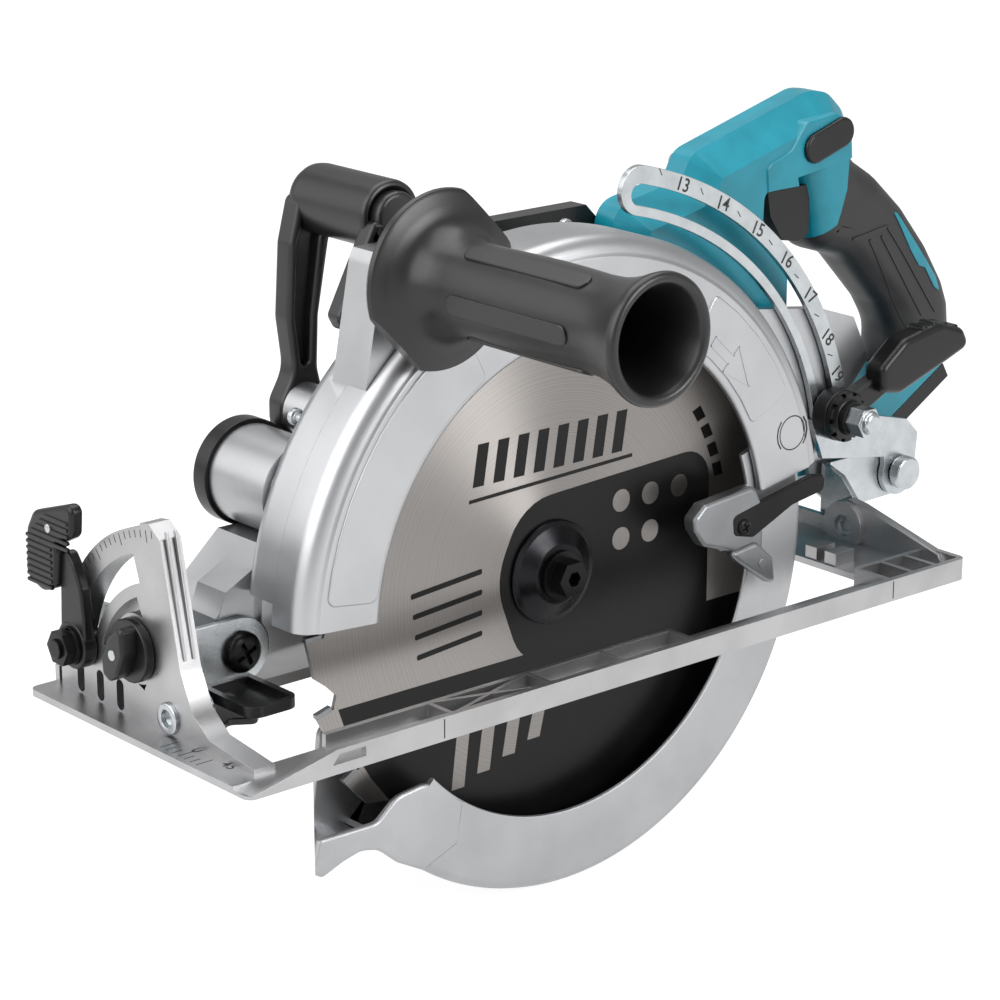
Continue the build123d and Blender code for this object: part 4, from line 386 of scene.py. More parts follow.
def add_plate(bm, facing, low, high, edge, outer, holes=(), steps=3):
    """Adds a plate cut to a flat outline, from low to high along its axis, with edges rounded by edge mm."""
    curve = bpy.data.curves.new("plate", "CURVE")
    curve.dimensions = "2D"
    curve.fill_mode = "BOTH"
    curve.resolution_u = 6
    add_loop(curve, counterclockwise(outer, True))
    for hole in holes:
        add_loop(curve, counterclockwise(hole, False))
    curve.extrude = ((high - low) / 2 - edge) * MM
    curve.bevel_depth = edge * MM
    curve.bevel_resolution = steps
    curve.offset = -edge * MM
    holder = bpy.data.objects.new("plate", curve)
    bpy.context.collection.objects.link(holder)
    mesh = as_mesh(holder)
    bpy.data.objects.remove(holder)
    bpy.data.curves.remove(curve)
    middle = (low + high) / 2
    mesh.transform(shift(*[middle if axis == facing else 0.0 for axis in "XYZ"]) @ FACING[facing])
    part = bmesh.new()
    part.from_mesh(mesh)
    bmesh.ops.remove_doubles(part, verts=part.verts, dist=SAME_SPOT)
    bmesh.ops.recalc_face_normals(part, faces=part.faces)
    bpy.data.meshes.remove(mesh)
    take_in(bm, part)


def rectangle(low_a, low_b, high_a, high_b, corner):
    """A rectangle's outline, with its corners rounded."""
    return [(low_a, low_b, corner), (high_a, low_b, corner), (high_a, high_b, corner),
            (low_a, high_b, corner)]


def circle(a, b, radius):
    """A round outline, as a square whose corners meet in one circle."""
    return rectangle(a - radius, b - radius, a + radius, b + radius, radius)


y, z = BOLT_Y, BOLT_Z
lever = bmesh.new()
add_plate(lever, "X", 187.4, 194.0, 1.2, circle(y, z, 10.0), [circle(y, z, 4.2)])
add_plate(
    lever, "X", 188.4, 193.6, 1.4,
    [(y - 8, z + 2, 2), (y + 9.5, z + 2, 2), (y + 9.5, z + 14, 6), (y + 8, z + 25, 6), (y + 3, z + 35, 5),
     (y - 1, z + 40, 3), (y - 6, z + 37, 3)],
)
add_plate(
    lever, "X", 190.0, 196.4, 2.2,
    [(y - 6, z + 23, 4), (y - 4, z + 38, 3), (y - 5, z + 41, 3), (y + 7, z + 47, 4), (y + 8, z + 58, 4),
     (y + 5, z + 60.5, 4), (y - 21, z + 52, 6), (y - 26, z + 44, 7), (y - 28, z + 23, 6),
     (y - 16, z + 19, 6)],
)
PAD_RIBS = 12
RIB_STEP = 2.7
RIB_HALF = 0.8
for rib in range(PAD_RIBS):
    height = z + 22.5 + rib * RIB_STEP
    reach = y - 7.5 if rib < 7 else y + 5.0
    rear = y - 25.5 if rib < 8 else y - 25.5 + (rib - 7) * 3.4
    pad_rib = rectangle(rear, height - RIB_HALF, reach, height + RIB_HALF, 0.7)
    add_plate(lever, "X", 195.4, 197.0, 0.4, pad_rib)
finish_piece(lever, "bevel_lever_moulding", [nylon], "bevel_clamp", ["bevel_lever"])

# Bevel stop knob: a black moulded disc with a pointed finger grip across it, on a pin that turns in the base,
# held by a small bright screw.
KNOB_Y = -33.0
KNOB_Z = 33.0
knob = bmesh.new()
add_plate(knob, "X", 187.3, 191.6, 0.9, circle(KNOB_Y, KNOB_Z, 13.0))
KNOB_LEAN = radians(65)
finger_grip = []
for along, aside, radius in (
    (-12.0, 2.5, 2), (-6.0, 6.0, 5), (4.0, 6.0, 5), (12.6, 1.6, 1.4), (12.6, -1.6, 1.4), (4.0, -6.0, 5),
    (-6.0, -6.0, 5), (-12.0, -2.5, 2),
):
    grip_y = KNOB_Y + along * cos(KNOB_LEAN) - aside * sin(KNOB_LEAN)
    grip_z = KNOB_Z + along * sin(KNOB_LEAN) + aside * cos(KNOB_LEAN)
    finger_grip.append((grip_y, grip_z, radius))
add_plate(knob, "X", 190.6, 199.0, 1.6, finger_grip)
add_plate(knob, "X", 178.0, 188.0, 0.3, circle(KNOB_Y, KNOB_Z, 4.0))
finish_piece(knob, "stop_knob_moulding", [nylon], "knob", ["stop_knob"])

# Front web: a plate let into the base's floor just in front of the blade, in black nylon whose dark colour is
# painted shade standing for the shadow that falls there. Its notched near edge leaves room for the tray when
# the saw tilts.
shade_web = bmesh.new()
add_plate(
    shade_web, "Z", 0.6, 3.6, 0.5,
    [(181, -52, 2), (181, 10, 2), (175, 8, 3), (174, -3.5, 3), (166, -6, 4), (160, -10, 3), (151, -4, 3),
     (146, -9, 3), (139, -14, 4), (138, -52, 2)],
)
finish_piece(shade_web, "base_front_shade_web", [nylon], "base")

# Ridges of the bevel plate: two cast lines that run down the near leg's edge, in the base's own metal and
# rounded over like it.
EDGE_TOP = Vector((-14.4, 85.0))
EDGE_FOOT = Vector((-4.6, 35.0))


def round_bars(bm, width_mm, segments):
    """Rounds every edge of a group of bars."""
    bmesh.ops.bevel(
        bm, geom=bm.edges, offset=width_mm * MM, affect="EDGES", segments=segments, profile=0.5, material=-1,
    )


ridges = bmesh.new()
for ridge_x in (184.2, 180.0):
    run = EDGE_FOOT - EDGE_TOP
    middle = shift(ridge_x, *((EDGE_FOOT + EDGE_TOP) / 2))
    lean = Matrix.Rotation(run.angle_signed(Vector((1, 0))), 4, "X")
    add_bar(ridges, 1.3, run.length, 1.6, middle @ lean)
round_bars(ridges, 0.4, 2)
finish_piece(ridges, "bevel_plate_ridges", [base_casting], "base")

# Knob screw and lever rivet: small turned heads of zinc-plated steel, one set in the stop knob's grip and one
# pressed into the bevel lever's pad.


def add_turned(bm, profile, centre, along="Y", steps=48):
    """Adds a round piece about an axis along Y or X, from its half section in (radius, distance) in mm."""
    part = bmesh.new()
    verts = [part.verts.new((radius * MM, 0.0, distance * MM)) for radius, distance in profile]
    edges = [part.edges.new(pair) for pair in zip(verts, verts[1:])]
    bmesh.ops.spin(part, geom=verts + edges, cent=(0, 0, 0), axis=(0, 0, 1), angle=2 * pi, steps=steps,
                   use_merge=True, use_duplicate=False)
    bmesh.ops.remove_doubles(part, verts=part.verts, dist=SAME_SPOT)
    bmesh.ops.recalc_face_normals(part, faces=part.faces)
    if along == "Y":
        place = shift(centre[0], 0.0, centre[1]) @ FACING["Y"] @ Matrix.Diagonal((1, -1, -1, 1))
    else:
        place = shift(0.0, *centre) @ FACING["X"]
    bmesh.ops.transform(part, verts=part.verts, matrix=place)
    bmesh.ops.recalc_face_normals(part, faces=part.faces)
    take_in(bm, part)


screw = bmesh.new()
screw_profile = [(0.0, 198.2), (2.1, 198.2), (2.4, 198.6), (2.1, 199.2), (1.0, 199.3), (0.0, 199.3)]
add_turned(screw, screw_profile, (KNOB_Y, KNOB_Z), "X", 24)
finish_piece(screw, "stop_knob_screw", [zinc], "knob")
rivet = bmesh.new()
rivet_profile = [(0.0, 194.0), (2.0, 194.0), (2.0, 196.6), (1.8, 197.2), (1.0, 197.6), (0.0, 197.7)]
add_turned(rivet, rivet_profile, (BOLT_Y - 8.7, BOLT_Z + 47.6), "X", 24)
finish_piece(rivet, "bevel_lever_rivet", [zinc], "bevel_clamp")

# Depth screw: a pan-head screw of black-oxide steel with a cross recess, in the front bracket's eye. The saw
# swings up and down on it in front.
DEPTH_X = 149.0
DEPTH_Z = 27.5


def carve(bm, tool, how="DIFFERENCE"):
    """Cuts tool out of bm, both closed shapes, or fuses them, or keeps what they share."""
    held = []
    for shape in (bm, tool):
        mesh = bpy.data.meshes.new("carve")
        shape.to_mesh(mesh)
        holder = bpy.data.objects.new("carve", mesh)
        bpy.context.collection.objects.link(holder)
        held.append(holder)
    cut = held[0].modifiers.new("cut", "BOOLEAN")
    cut.operation = how
    cut.solver = "EXACT"
    cut.object = held[1]
    result = as_mesh(held[0])
    bm.clear()
    bm.from_mesh(result)
    bpy.data.meshes.remove(result)
    for holder in held:
        bpy.data.meshes.remove(holder.data)
    tool.free()


def cut_bar(bm, length, width, height, place, how="DIFFERENCE"):
    """Cuts a bar of that size in mm out of a shape, or keeps what lies inside it."""
    tool = bmesh.new()
    add_bar(tool, length, width, height, place)
    carve(bm, tool, how)


RECESS_TURN = Matrix.Rotation(radians(25), 4, "Y")


def cross_head(head_r, low, high, x, z, shank_r, shank_end):
    """A pan-head screw along Y with a cross recess in its head."""
    top = high - low
    part = bmesh.new()
    profile = [(0.0, shank_end), (shank_r, shank_end), (shank_r, low), (head_r, low),
               (head_r, low + top * 0.45), (head_r * 0.93, low + top * 0.72),
               (head_r * 0.78, low + top * 0.92), (head_r * 0.5, high), (0.0, high)]
    add_turned(part, profile, (x, z))
    width = head_r * 0.24
    reach = head_r * 1.2
    for length, height in ((reach, width), (width, reach)):
        cut_bar(part, length, top * 0.9, height, shift(x, high, z) @ RECESS_TURN)
    return part


pan_head = cross_head(8.5, -16.5, -12.0, DEPTH_X, DEPTH_Z, 5.0, -37.0)
finish_piece(pan_head, "depth_pivot_screw", [black_oxide], "tilt", ["depth_screw"])

# Depth guide: a stamped steel quadrant, zinc plated, with a slot along its middle. Its outer band carries the
# depth scale, struck in and filled with black paint.
dress("depth_guide", zinc, 0.4)
GUIDE_FACE_Y = -28.0
READ_NEAR = Matrix(((-1, 0, 0, 0), (0, 0, 1, 0), (0, 1, 0, 0), (0, 0, 0, 1)))
figures = bmesh.new()
FIGURE_SPOTS = [(13, -101.2, 180.0), (14, -125.8, 168.3), (15, -147.9, 153.7), (16, -166.8, 136.9),
                (17, -182.6, 117.9), (18, -195.0, 96.4), (19, -202.2, 77.6)]
FIGURE_HIGH = 8.5
before = (-86.2, 187.3)
for number, fx, fz in FIGURE_SPOTS:
    along = Vector((fx - before[0], 0.0, fz - before[1]))
    slope = along.angle(Vector((-1, 0, 0)))
    spot = shift(fx, GUIDE_FACE_Y + MARK_PROUD, fz)
    add_text(figures, str(number), FIGURE_HIGH, spot @ READ_NEAR @ Matrix.Rotation(-slope * 0.8, 4, "Z"))
    share = 0.15 if number == 13 else 0.5
    spot = shift(before[0] + along.x * share, GUIDE_FACE_Y, before[1] + along.z * share)
    out = spot @ Matrix.Rotation(slope, 4, "Y") @ shift(0, 0, 1.6)
    add_bar(figures, 0.5, MARK_DEEP, 3.6, out)
    before = (fx, fz)
finish_piece(figures, "depth_scale", [mark_paint], "guide")
dress("guide_pin", zinc, 1.2, 3)

# Depth lever: a thick black moulding on the clamp bolt, with a broad pad and ridges for the thumb on top.
# A notched black collar and a zinc-plated nut hold it on the bolt.
dress("depth_bolt", zinc, 0.4)
CLAMP_X = -197.0
CLAMP_Z = 60.5
x, z = CLAMP_X, CLAMP_Z
lever = bmesh.new()
add_plate(lever, "Y", -27.6, -18.6, 1.4, circle(x, z, 12.0), [circle(x, z, 4.3)])
add_plate(
    lever, "Y", -27.0, -18.9, 1.6,
    [(x + 2, z + 11, 2), (x - 8, z + 9, 4), (x - 24, z + 15, 4), (x - 38, z + 19, 5), (x - 38, z + 9, 5),
     (x - 12, z - 3, 4)],
)
add_plate(
    lever, "Y", -25.6, -12.8, 3.2,
    [(x - 20, z + 20, 5), (x - 35, z + 31, 10), (x - 60, z + 35.5, 10), (x - 76, z + 30, 6),
     (x - 81, z + 21, 6), (x - 65, z + 15.5, 10), (x - 34, z + 5.5, 8), (x - 20, z + 8, 5)],
    steps=4,
)
for rx, rz in ((x - 50, z + 33.6), (x - 57, z + 34.4), (x - 64, z + 33.3), (x - 71, z + 31.0)):
    add_plate(
        lever, "Y", -24.0, -14.4, 0.8,
        [(rx - 2.6, rz - 2, 1), (rx + 2.6, rz - 2, 1), (rx + 1.6, rz + 1.4, 1.2),
         (rx - 1.6, rz + 1.4, 1.2)],
    )
finish_piece(lever, "depth_lever_moulding", [nylon], "depth_clamp", ["depth_lever"])
collar = bmesh.new()
collar_profile = [(4.2, -18.6), (11.2, -18.6), (11.8, -18.0), (11.8, -15.4), (11.2, -14.7), (8.8, -14.6),
                  (8.2, -14.2), (8.2, -10.8), (8.0, -10.6), (4.2, -10.6), (4.2, -18.6)]
add_turned(collar, collar_profile, (x, z))
NOTCHES = 10
for notch in range(NOTCHES):
    turn = Matrix.Rotation(radians(360.0 / NOTCHES * notch), 4, "Y")
    cut_bar(collar, 3.0, 3.4, 2.4, shift(x, -15.0, z) @ turn @ shift(11.6, 0, 0))
finish_piece(collar, "depth_collar_moulding", [nylon], "depth_clamp", ["depth_collar"])
dress("depth_nut", zinc, 0.7, 3)

# Bevel pivot pins: turned steel, zinc plated, with a low head and a round socket. One goes through the base's
# front plate, the other through its rear lug.
pins = bmesh.new()
pin_profile = [(0.0, 0.0), (5.0, 0.0), (5.0, 10.0), (6.4, 10.0), (6.6, 10.4), (6.4, 11.4), (5.8, 11.9),
               (4.2, 12.0), (3.6, 11.6), (3.4, 9.6), (0.0, 9.2)]
for head in (177.0, -206.0):
    part = bmesh.new()
    add_turned(part, pin_profile, (BEVEL_Y, BEVEL_Z), "X", 32)
    take_in(pins, part, shift(head, 0, 0))
finish_piece(pins, "bevel_pivot_pins", [zinc], "base", ["bevel_pins"])

# Blade case: a large magnesium die casting over the upper half of the blade, blasted and coated in silver.
# It carries the grips' boss, the dust port, the front ear and the arm behind the depth guide.
case_metal = cast_metal("silver_coated_casting", "#b6b7b9", "#aeafb1", 0.36, 0.7, 0.035)
dress("blade_case", case_metal, 1.0)
dress("cover_screws", zinc, 0.4)
dress("dust_ring", nylon, 0.5)

# Near cover: a silver casting screwed to the case. Its rim is rounded over to a shallow step, and the flat
# face carries raised panels, the outline of the turning arrow and a plain printed ring.
COVER_FACE = 20.0
PRINT_PROUD = 0.03
SPINDLE_Z = 33.0


def add_swept(bm, section, start, end, steps):
    """Adds a closed half section in (radius, y), swung about the spindle between two angles."""
    part = bmesh.new()
    first = Matrix.Rotation(-radians(start), 4, "Y")
    spots = [first @ Vector((radius * MM, distance * MM, 0.0)) for radius, distance in section]
    verts = [part.verts.new(spot) for spot in spots]
    edges = [part.edges.new((verts[n - 1], verts[n])) for n in range(len(verts))]
    bmesh.ops.spin(part, geom=verts + edges, cent=(0, 0, 0), axis=(0, -1, 0), angle=radians(end - start),
                   steps=steps, use_merge=False, use_duplicate=False)
    bmesh.ops.holes_fill(part, edges=[edge for edge in part.edges if edge.is_boundary], sides=0)
    bmesh.ops.recalc_face_normals(part, faces=part.faces)
    take_in(bm, part, shift(0, 0, SPINDLE_Z))


def at_spindle(radius, degree, corner=0.0):
    """A corner in x and z at a radius and an angle round the spindle."""
    return (radius * cos(radians(degree)), SPINDLE_Z + radius * sin(radians(degree)), corner)


cover = bmesh.new()
cover_section = [
    (146.0, 0.1), (146.0, 11.0), (145.4, 14.0), (143.9, 16.5), (141.6, 18.2), (139.2, 18.9), (138.4, 19.0),
    (137.6, 19.7), (136.8, 20.0), (109.6, 20.0), (108.2, 19.7), (107.3, 18.9), (107.0, 17.8), (107.2, 16.9),
    (137.0, 16.8), (139.5, 14.5), (139.5, 0.1),
]
add_swept(cover, cover_section, 3.6, 170.0, 110)
PANEL_PROUD = 0.7


def ring_panel(inner, outer, start, end, corner):
    """The outline of a panel between two radii and two angles round the spindle, with eased corners."""
    count = max(3, int((end - start) / 6))
    angles = [start + (end - start) * n / count for n in range(count + 1)]
    outline = list(zip(angles, [corner] + [0.0] * (count - 1) + [corner]))
    far_side = [at_spindle(outer, degree, radius) for degree, radius in outline]
    near_side = [at_spindle(inner, degree, radius) for degree, radius in reversed(outline)]
    return far_side + near_side


for panel in (ring_panel(110.0, 135.0, 8.0, 62.0, 4.0), ring_panel(110.5, 134.5, 124.0, 153.0, 3.0)):
    add_plate(cover, "Y", COVER_FACE - 2.0, COVER_FACE + PANEL_PROUD, 0.6, panel)
finish_piece(cover, "cover_casting", [case_metal], "saw", ["guard_cover"])
arrow = bmesh.new()
arrow_face = COVER_FACE + PANEL_PROUD
ARROW_SPOTS = ((119.5, 129.0), (119.5, 136.0), (124.0, 136.0), (117.0, 144.5), (110.8, 136.0),
               (115.0, 136.0), (115.0, 129.0))
arrow_shape = [at_spindle(*spot) for spot in ARROW_SPOTS]
for n, corner in enumerate(arrow_shape):
    start = Vector((arrow_shape[n - 1][0], 0.0, arrow_shape[n - 1][1]))
    end = Vector((corner[0], 0.0, corner[1]))
    run = end - start
    middle = (start + end) / 2
    lean = Matrix.Rotation(-Vector((run.x, run.z)).angle_signed(Vector((1, 0))), 4, "Y")
    add_bar(arrow, run.length + 0.5, 0.5, 0.5, shift(middle.x, arrow_face, middle.z) @ lean)
finish_piece(arrow, "cover_arrow", [case_metal], "saw")
ring = bmesh.new()
RING_X = -123.7
RING_Z = 74.5
ring_low = COVER_FACE - 0.3
ring_high = COVER_FACE + PRINT_PROUD
add_plate(ring, "Y", ring_low, ring_high, 0.0, circle(RING_X, RING_Z, 7.9), [circle(RING_X, RING_Z, 7.3)])
for side in (1, -1):
    arc = [(RING_X + side * r * cos(radians(a)), RING_Z + r * sin(radians(a)), 0.0)
           for r, turns in ((9.6, (-42, -21, 0, 21, 42)), (8.8, (42, 21, 0, -21, -42))) for a in turns]
    add_plate(ring, "Y", ring_low, ring_high, 0.0, arc)
finish_piece(ring, "cover_ring_print", [mark_paint], "saw")

# Lower guard: a silver die casting in channel section round the blade, with a rounded lip in front that
# rides up on the work. It turns on the gear housing's nose.
guard_metal = cast_metal("silver_guard_casting", "#b0b1b3", "#a7a8aa", 0.46, 0.9, 0.04)
guard = bmesh.new()
guard_section = [
    (104.2, 16.0), (131.6, 16.0), (133.6, 15.5), (135.2, 14.1), (136.0, 12.0), (136.0, -12.2),
    (135.4, -13.7), (134.0, -14.3), (32.0, -14.3), (32.0, -11.8), (133.5, -11.8), (133.5, 11.0),
    (132.6, 12.8), (131.0, 13.5), (104.2, 13.5), (103.3, 13.9), (103.0, 14.75), (103.3, 15.6),
]
add_swept(guard, guard_section, -200.0, -42.0, 80)
PLANE_GAP = 0.0001 * MM


def keep_side(bm, spot, away):
    """Cuts off the side of a plane through spot that away points to, and closes the cut."""
    cut = bmesh.ops.bisect_plane(
        bm, geom=bm.verts[:] + bm.edges[:] + bm.faces[:], plane_co=spot, plane_no=away, clear_outer=True,
        dist=PLANE_GAP,
    )
    rim = [part for part in cut["geom_cut"] if isinstance(part, bmesh.types.BMEdge)]
    bmesh.ops.triangle_fill(bm, edges=rim, use_beauty=True)


lip = bmesh.new()
add_plate(
    lip, "Y", 12.6, 16.05, 1.4,
    [at_spindle(103.0, -54.0, 1), (79, -37, 12), (96, -39, 12), (106.5, -47.5, 7), (135.6, -46.9, 2),
     (139.5, -60.5, 2), (134.5, -63.7, 3), (124, -59.8, 12), (114.5, -57.6, 12), (105.5, -59.8, 12),
     (95.5, -68.3, 12), at_spindle(136.0, -53.0, 1), at_spindle(120.0, -58.0, 1)],
)
add_plate(
    lip, "Y", -14.3, 15.2, 0.9,
    [(139, -61.5, 0.8), (134.5, -63.2, 2), (124, -59.3, 10), (114.5, -57.1, 10), (105.5, -59.3, 10),
     (97.5, -66, 0.8), (97.5, -61.5, 0.8), (105.5, -55.5, 8), (114.5, -53.8, 10), (124, -55.8, 10),
     (138, -58.5, 0.8)],
)
add_plate(
    lip, "Y", -14.3, -11.8, 0.8,
    [(96, -63, 1), (119.5, -60, 1), (116.5, -35, 10), (114, -12, 5), (98, -12, 5), (86, -42, 2)],
)
LIP_CUT = Vector((138.5, 16.0, 0.0))
keep_side(lip, LIP_CUT * MM, (0.8, -0.6, 0.0))
take_in(guard, lip)
TAB_SPOTS = ((84.0, 168.0, 3), (105.0, 168.0, 1), (105.0, 184.0, 1), (84.0, 184.0, 3))
add_plate(guard, "Y", 13.5, 16.0, 0.6, [at_spindle(*spot) for spot in TAB_SPOTS])
add_plate(guard, "Y", -14.3, -9.8, 0.5, circle(0.0, SPINDLE_Z, 33.0), [circle(0.0, SPINDLE_Z, 24.05)])
finish_piece(guard, "guard_casting", [guard_metal], "guard", ["lower_guard"])

# Guard lever: a small grey casting on the guard's end with a tongue below, and a black steel wing that the
# hand pulls, held by a black cross-head screw. A ring and a coil spring hold the guard and close it.
lever_metal = cast_metal("grey_zinc_casting", "#8d8f91", "#7f8183", 0.42, 0.8, 0.03)
x, z = -91.0, 39.0
block = bmesh.new()
add_plate(
    block, "Y", 16.0, 24.0, 2.0,
    [(x + 28.5, z + 3, 3), (x + 29.5, z + 9, 3), (x + 23, z + 14.5, 3), (x - 7, z + 17, 4),
     (x - 12.5, z + 7, 3), (x - 12.5, z - 15, 3), (x - 5, z - 16, 4), (x + 3, z - 11.5, 4),
     (x + 23, z - 4.5, 4)],
)
add_plate(
    block, "Y", 21.0, 26.0, 1.8,
    [(x + 10, z - 10, 3), (x - 7, z - 8, 3), (x - 17, z - 17, 3), (x - 19, z - 29, 3), (x - 14, z - 28, 3),
     (x + 4, z - 15, 4)],
)
add_plate(block, "Y", 25.4, 26.5, 0.4, circle(x - 10, z - 18, 2.2))
finish_piece(block, "guard_lever_casting", [lever_metal], "guard", ["guard_lever"])
wing = bmesh.new()
add_plate(
    wing, "Y", 21.5, 24.3, 0.8,
    [(x + 6, z - 3, 3), (x + 7, z + 6, 3), (x - 42, z + 15.5, 4), (x - 50, z + 14, 3), (x - 50, z + 7, 3),
     (x - 30, z + 4, 10), (x - 6, z - 6, 4)],
)
finish_piece(wing, "guard_wing_plate", [black_oxide], "guard", ["guard_wing"])
small_head = cross_head(3.6, 24.0, 25.6, x, z, 2.0, 13.5)
finish_piece(small_head, "guard_lever_screw", [black_oxide], "guard", ["guard_screw"])
dress("guard_ring", black_oxide)
spring_steel = zinc_plate("hardened_steel", "#a9abae", "#96989b", 0.28)
dress("guard_spring", spring_steel)

# Blade: a steel disc, ground and brushed in rings, with hard-metal tips brazed to the teeth. The near face
# has a plain printed design of bars, dots and fields in black.
blade_steel, blade_tree, blade_shader, blade_place = start_finish("ring_brushed_steel")
RING_MM = 0.45


def blade_vector(operation, inputs, output="Vector"):
    """A sum with places on the blade."""
    return add_node(blade_tree, "ShaderNodeVectorMath", inputs, operation=operation).outputs[output]


blade_centre = add_node(
    blade_tree, "ShaderNodeMapping", {"Vector": blade_place, "Location": (0.0, 0.0, -SPINDLE_Z * MM)},
).outputs["Vector"]
blade_flat = blade_vector("MULTIPLY", {0: blade_centre, 1: (1.0, 0.0, 1.0)})
blade_radius = blade_vector("LENGTH", {0: blade_flat}, "Value")
blade_rings = add_node(
    blade_tree, "ShaderNodeTexNoise", {"W": blade_radius, "Scale": 1 / (RING_MM * MM), "Detail": 2.0},
    noise_dimensions="1D",
).outputs["Fac"]
fill(blade_tree, blade_shader, {
    "Base Color": two_tone(blade_tree, blade_rings, "#8f8b88", "#a09c99"),
    "Normal": bumped(blade_tree, blade_rings, 0.3, 0.012),
    "Metallic": 1.0,
    "Roughness": 0.41,
    "Anisotropic": 0.88,
    "Tangent": blade_vector("NORMALIZE", {0: blade_flat}),
})
dress("blade", blade_steel)

BLADE_R = 130.0
BLADE_FACE = 0.9
TEETH = 24
TIP_LONG = 8.0
TIP_WIDE = 2.6
TIP_THICK = 2.2
TIP_INSET = 0.1
tips = bmesh.new()
for tooth in range(TEETH):
    turn = Matrix.Rotation(-radians(tooth * 360.0 / TEETH), 4, "Y")
    at_rim = shift(BLADE_R - TIP_LONG / 2 - TIP_INSET, 0, -TIP_THICK / 2)
    add_bar(tips, TIP_LONG, TIP_WIDE, TIP_THICK, shift(0, 0, SPINDLE_Z) @ turn @ at_rim)
round_bars(tips, 0.2, 1)
tip_metal = zinc_plate("sintered_carbide", "#8f9092", "#7c7d7f", 0.4)
finish_piece(tips, "blade_tips", [tip_metal], "blade_set")

print_paint = moulded_plastic("black_screen_print", "#100f0f", "#0b0b0b", 0.33, 0.6, 0.005, gloss=0.2)
DOT_STEP = 17.0
printed = bmesh.new()
print_high = BLADE_FACE + PRINT_PROUD


def print_field(outer, holes=(), high=print_high):
    """Adds a field to the print on the blade's near face."""
    add_plate(printed, "Y", BLADE_FACE - 0.2, high, 0.0, outer, holes)


dots = [
    circle(-40.0 - DOT_STEP * column, 56.0 - DOT_STEP * row, 5.0)
    for row in range(2)
    for column in range(3 - row)
]
side_field = [(-92, 71, 14), (-92, -6, 3), (16, -6, 20), (31, 34, 30), (16, 66, 26)]
print_field(side_field, dots, print_high + PRINT_PROUD)
LOW_R = 119.0
LOW_EDGE = -34.0
low_turn = math_degrees(asin(LOW_EDGE / LOW_R))
LOW_STEPS = 24
low_span = 180.0 + 2 * low_turn
low_field = [at_spindle(LOW_R, low_turn - low_span * n / LOW_STEPS) for n in range(LOW_STEPS + 1)]
slants = [
    [(edge, -28, 0), (edge - 7, -28, 0), (edge - 4, -52 + 4 * bar, 0), (edge + 3, -52 + 4 * bar, 0)]
    for bar, edge in enumerate((52, 38, 24, 10))
]
print_field(low_field, slants)
TOP_BARS = 8
TOP_STEP = 11
for bar in range(TOP_BARS):
    edge = 43 - bar * TOP_STEP
    print_field([(edge, 78, 0), (edge - 6, 78, 0), (edge - 9, 96, 0), (edge - 3, 96, 0)])
print_field([(45, 73, 0), (-46, 76, 0), (-46, 74.4, 0), (45, 71.4, 0)])
for bar in range(4):
    height = 40.0 - bar * 9.0
    end = 76 - bar
    print_field([(end, height - 3, 0.8), (38, height, 0.8), (38, height + 2.4, 0.8),
                 (end, height - 0.6, 0.8)])
for bar in range(4):
    start = 146.0 + bar * 5.6
    bar_spots = ((98.0, start), (103.0, start + 0.6), (103.0, start + 4.2), (98.0, start + 3.6))
    print_field([at_spindle(*spot) for spot in bar_spots])
finish_piece(printed, "blade_print", [print_paint], "blade_set")

# Flanges and bolt: black-oxide steel turned to a cone, and a hex-head bolt with a washer face that draws the
# blade against the inner flange.
polished_oxide = cast_metal("polished_black_oxide", "#262628", "#1f1f21", 0.26, 4.0, 0.002, metallic=0.95)
cone = bmesh.new()
cone_profile = [(5.4, 1.0), (22.2, 1.0), (22.5, 1.3), (22.5, 2.2), (22.1, 2.7), (20.4, 3.1), (19.6, 3.3),
                (13.6, 6.5), (12.6, 6.9), (5.4, 6.9), (5.4, 1.0)]
add_turned(cone, cone_profile, (0.0, SPINDLE_Z), steps=96)
finish_piece(
    cone, "outer_flange_turned", [polished_oxide], "blade_set", ["outer_flange"], sharp_deg=24,
)
dress("blade_bolt", black_oxide, 0.4)
dress("inner_flange", spring_steel)

# Gear train inside: hardened steel shafts, gears and ball bearings, and the motor's laminated core. They
# don't show from outside and keep their plain machined looks.
for name in (
    "spindle", "spindle_gear", "spindle_bearings", "lay_shaft", "lay_gear", "lay_bearings", "rotor_shaft",
    "rotor_bearings",
):
    dress(name, spring_steel)
lamination = zinc_plate("stacked_electrical_steel", "#6f7175", "#5c5e62", 0.45)
dress("stator", lamination)
dress("rotor_core", lamination)
dress("cooling_fan", nylon)

# Gear housing and bearing plate: silver castings behind the blade case, bolted to the motor with steel
# screws. A black moulded button in the housing locks the spindle.
dress("gear_housing", case_metal, 0.8)
dress("bearing_plate", case_metal, 0.5)
dress("motor_screws", zinc)
dress("shaft_lock", nylon, 0.5)

# Motor housing: a black moulded barrel with a square top and cooling slots. Its flat end has two low rings
# and short radial bars moulded on, which stiffen it.
dress("motor_housing", nylon, 1.0)
MOTOR_X = -40.0
MOTOR_Z = 99.0
MOTOR_END_Y = -125.0
RIB_HIGH = 1.0
SPOKE_DEG = 15
SPOKE_R = 27.0
SPOKE_LONG = 19.0
SPOKE_WIDE = 2.4
end_ribs = bmesh.new()
for turn in range(0, 360, SPOKE_DEG):
    spoke = Matrix.Rotation(radians(turn), 4, "Y") @ shift(SPOKE_R, 0, 0)
    spot = shift(MOTOR_X, MOTOR_END_Y, MOTOR_Z) @ spoke
    add_bar(end_ribs, SPOKE_LONG, RIB_HIGH * 2, SPOKE_WIDE, spot)
round_bars(end_ribs, 0.4, 2)
for outer, inner in ((42.5, 39.0), (15.0, 11.5)):
    add_plate(end_ribs, "Y", MOTOR_END_Y - RIB_HIGH, MOTOR_END_Y + 0.4, 0.4, circle(MOTOR_X, MOTOR_Z, outer),
              [circle(MOTOR_X, MOTOR_Z, inner)])
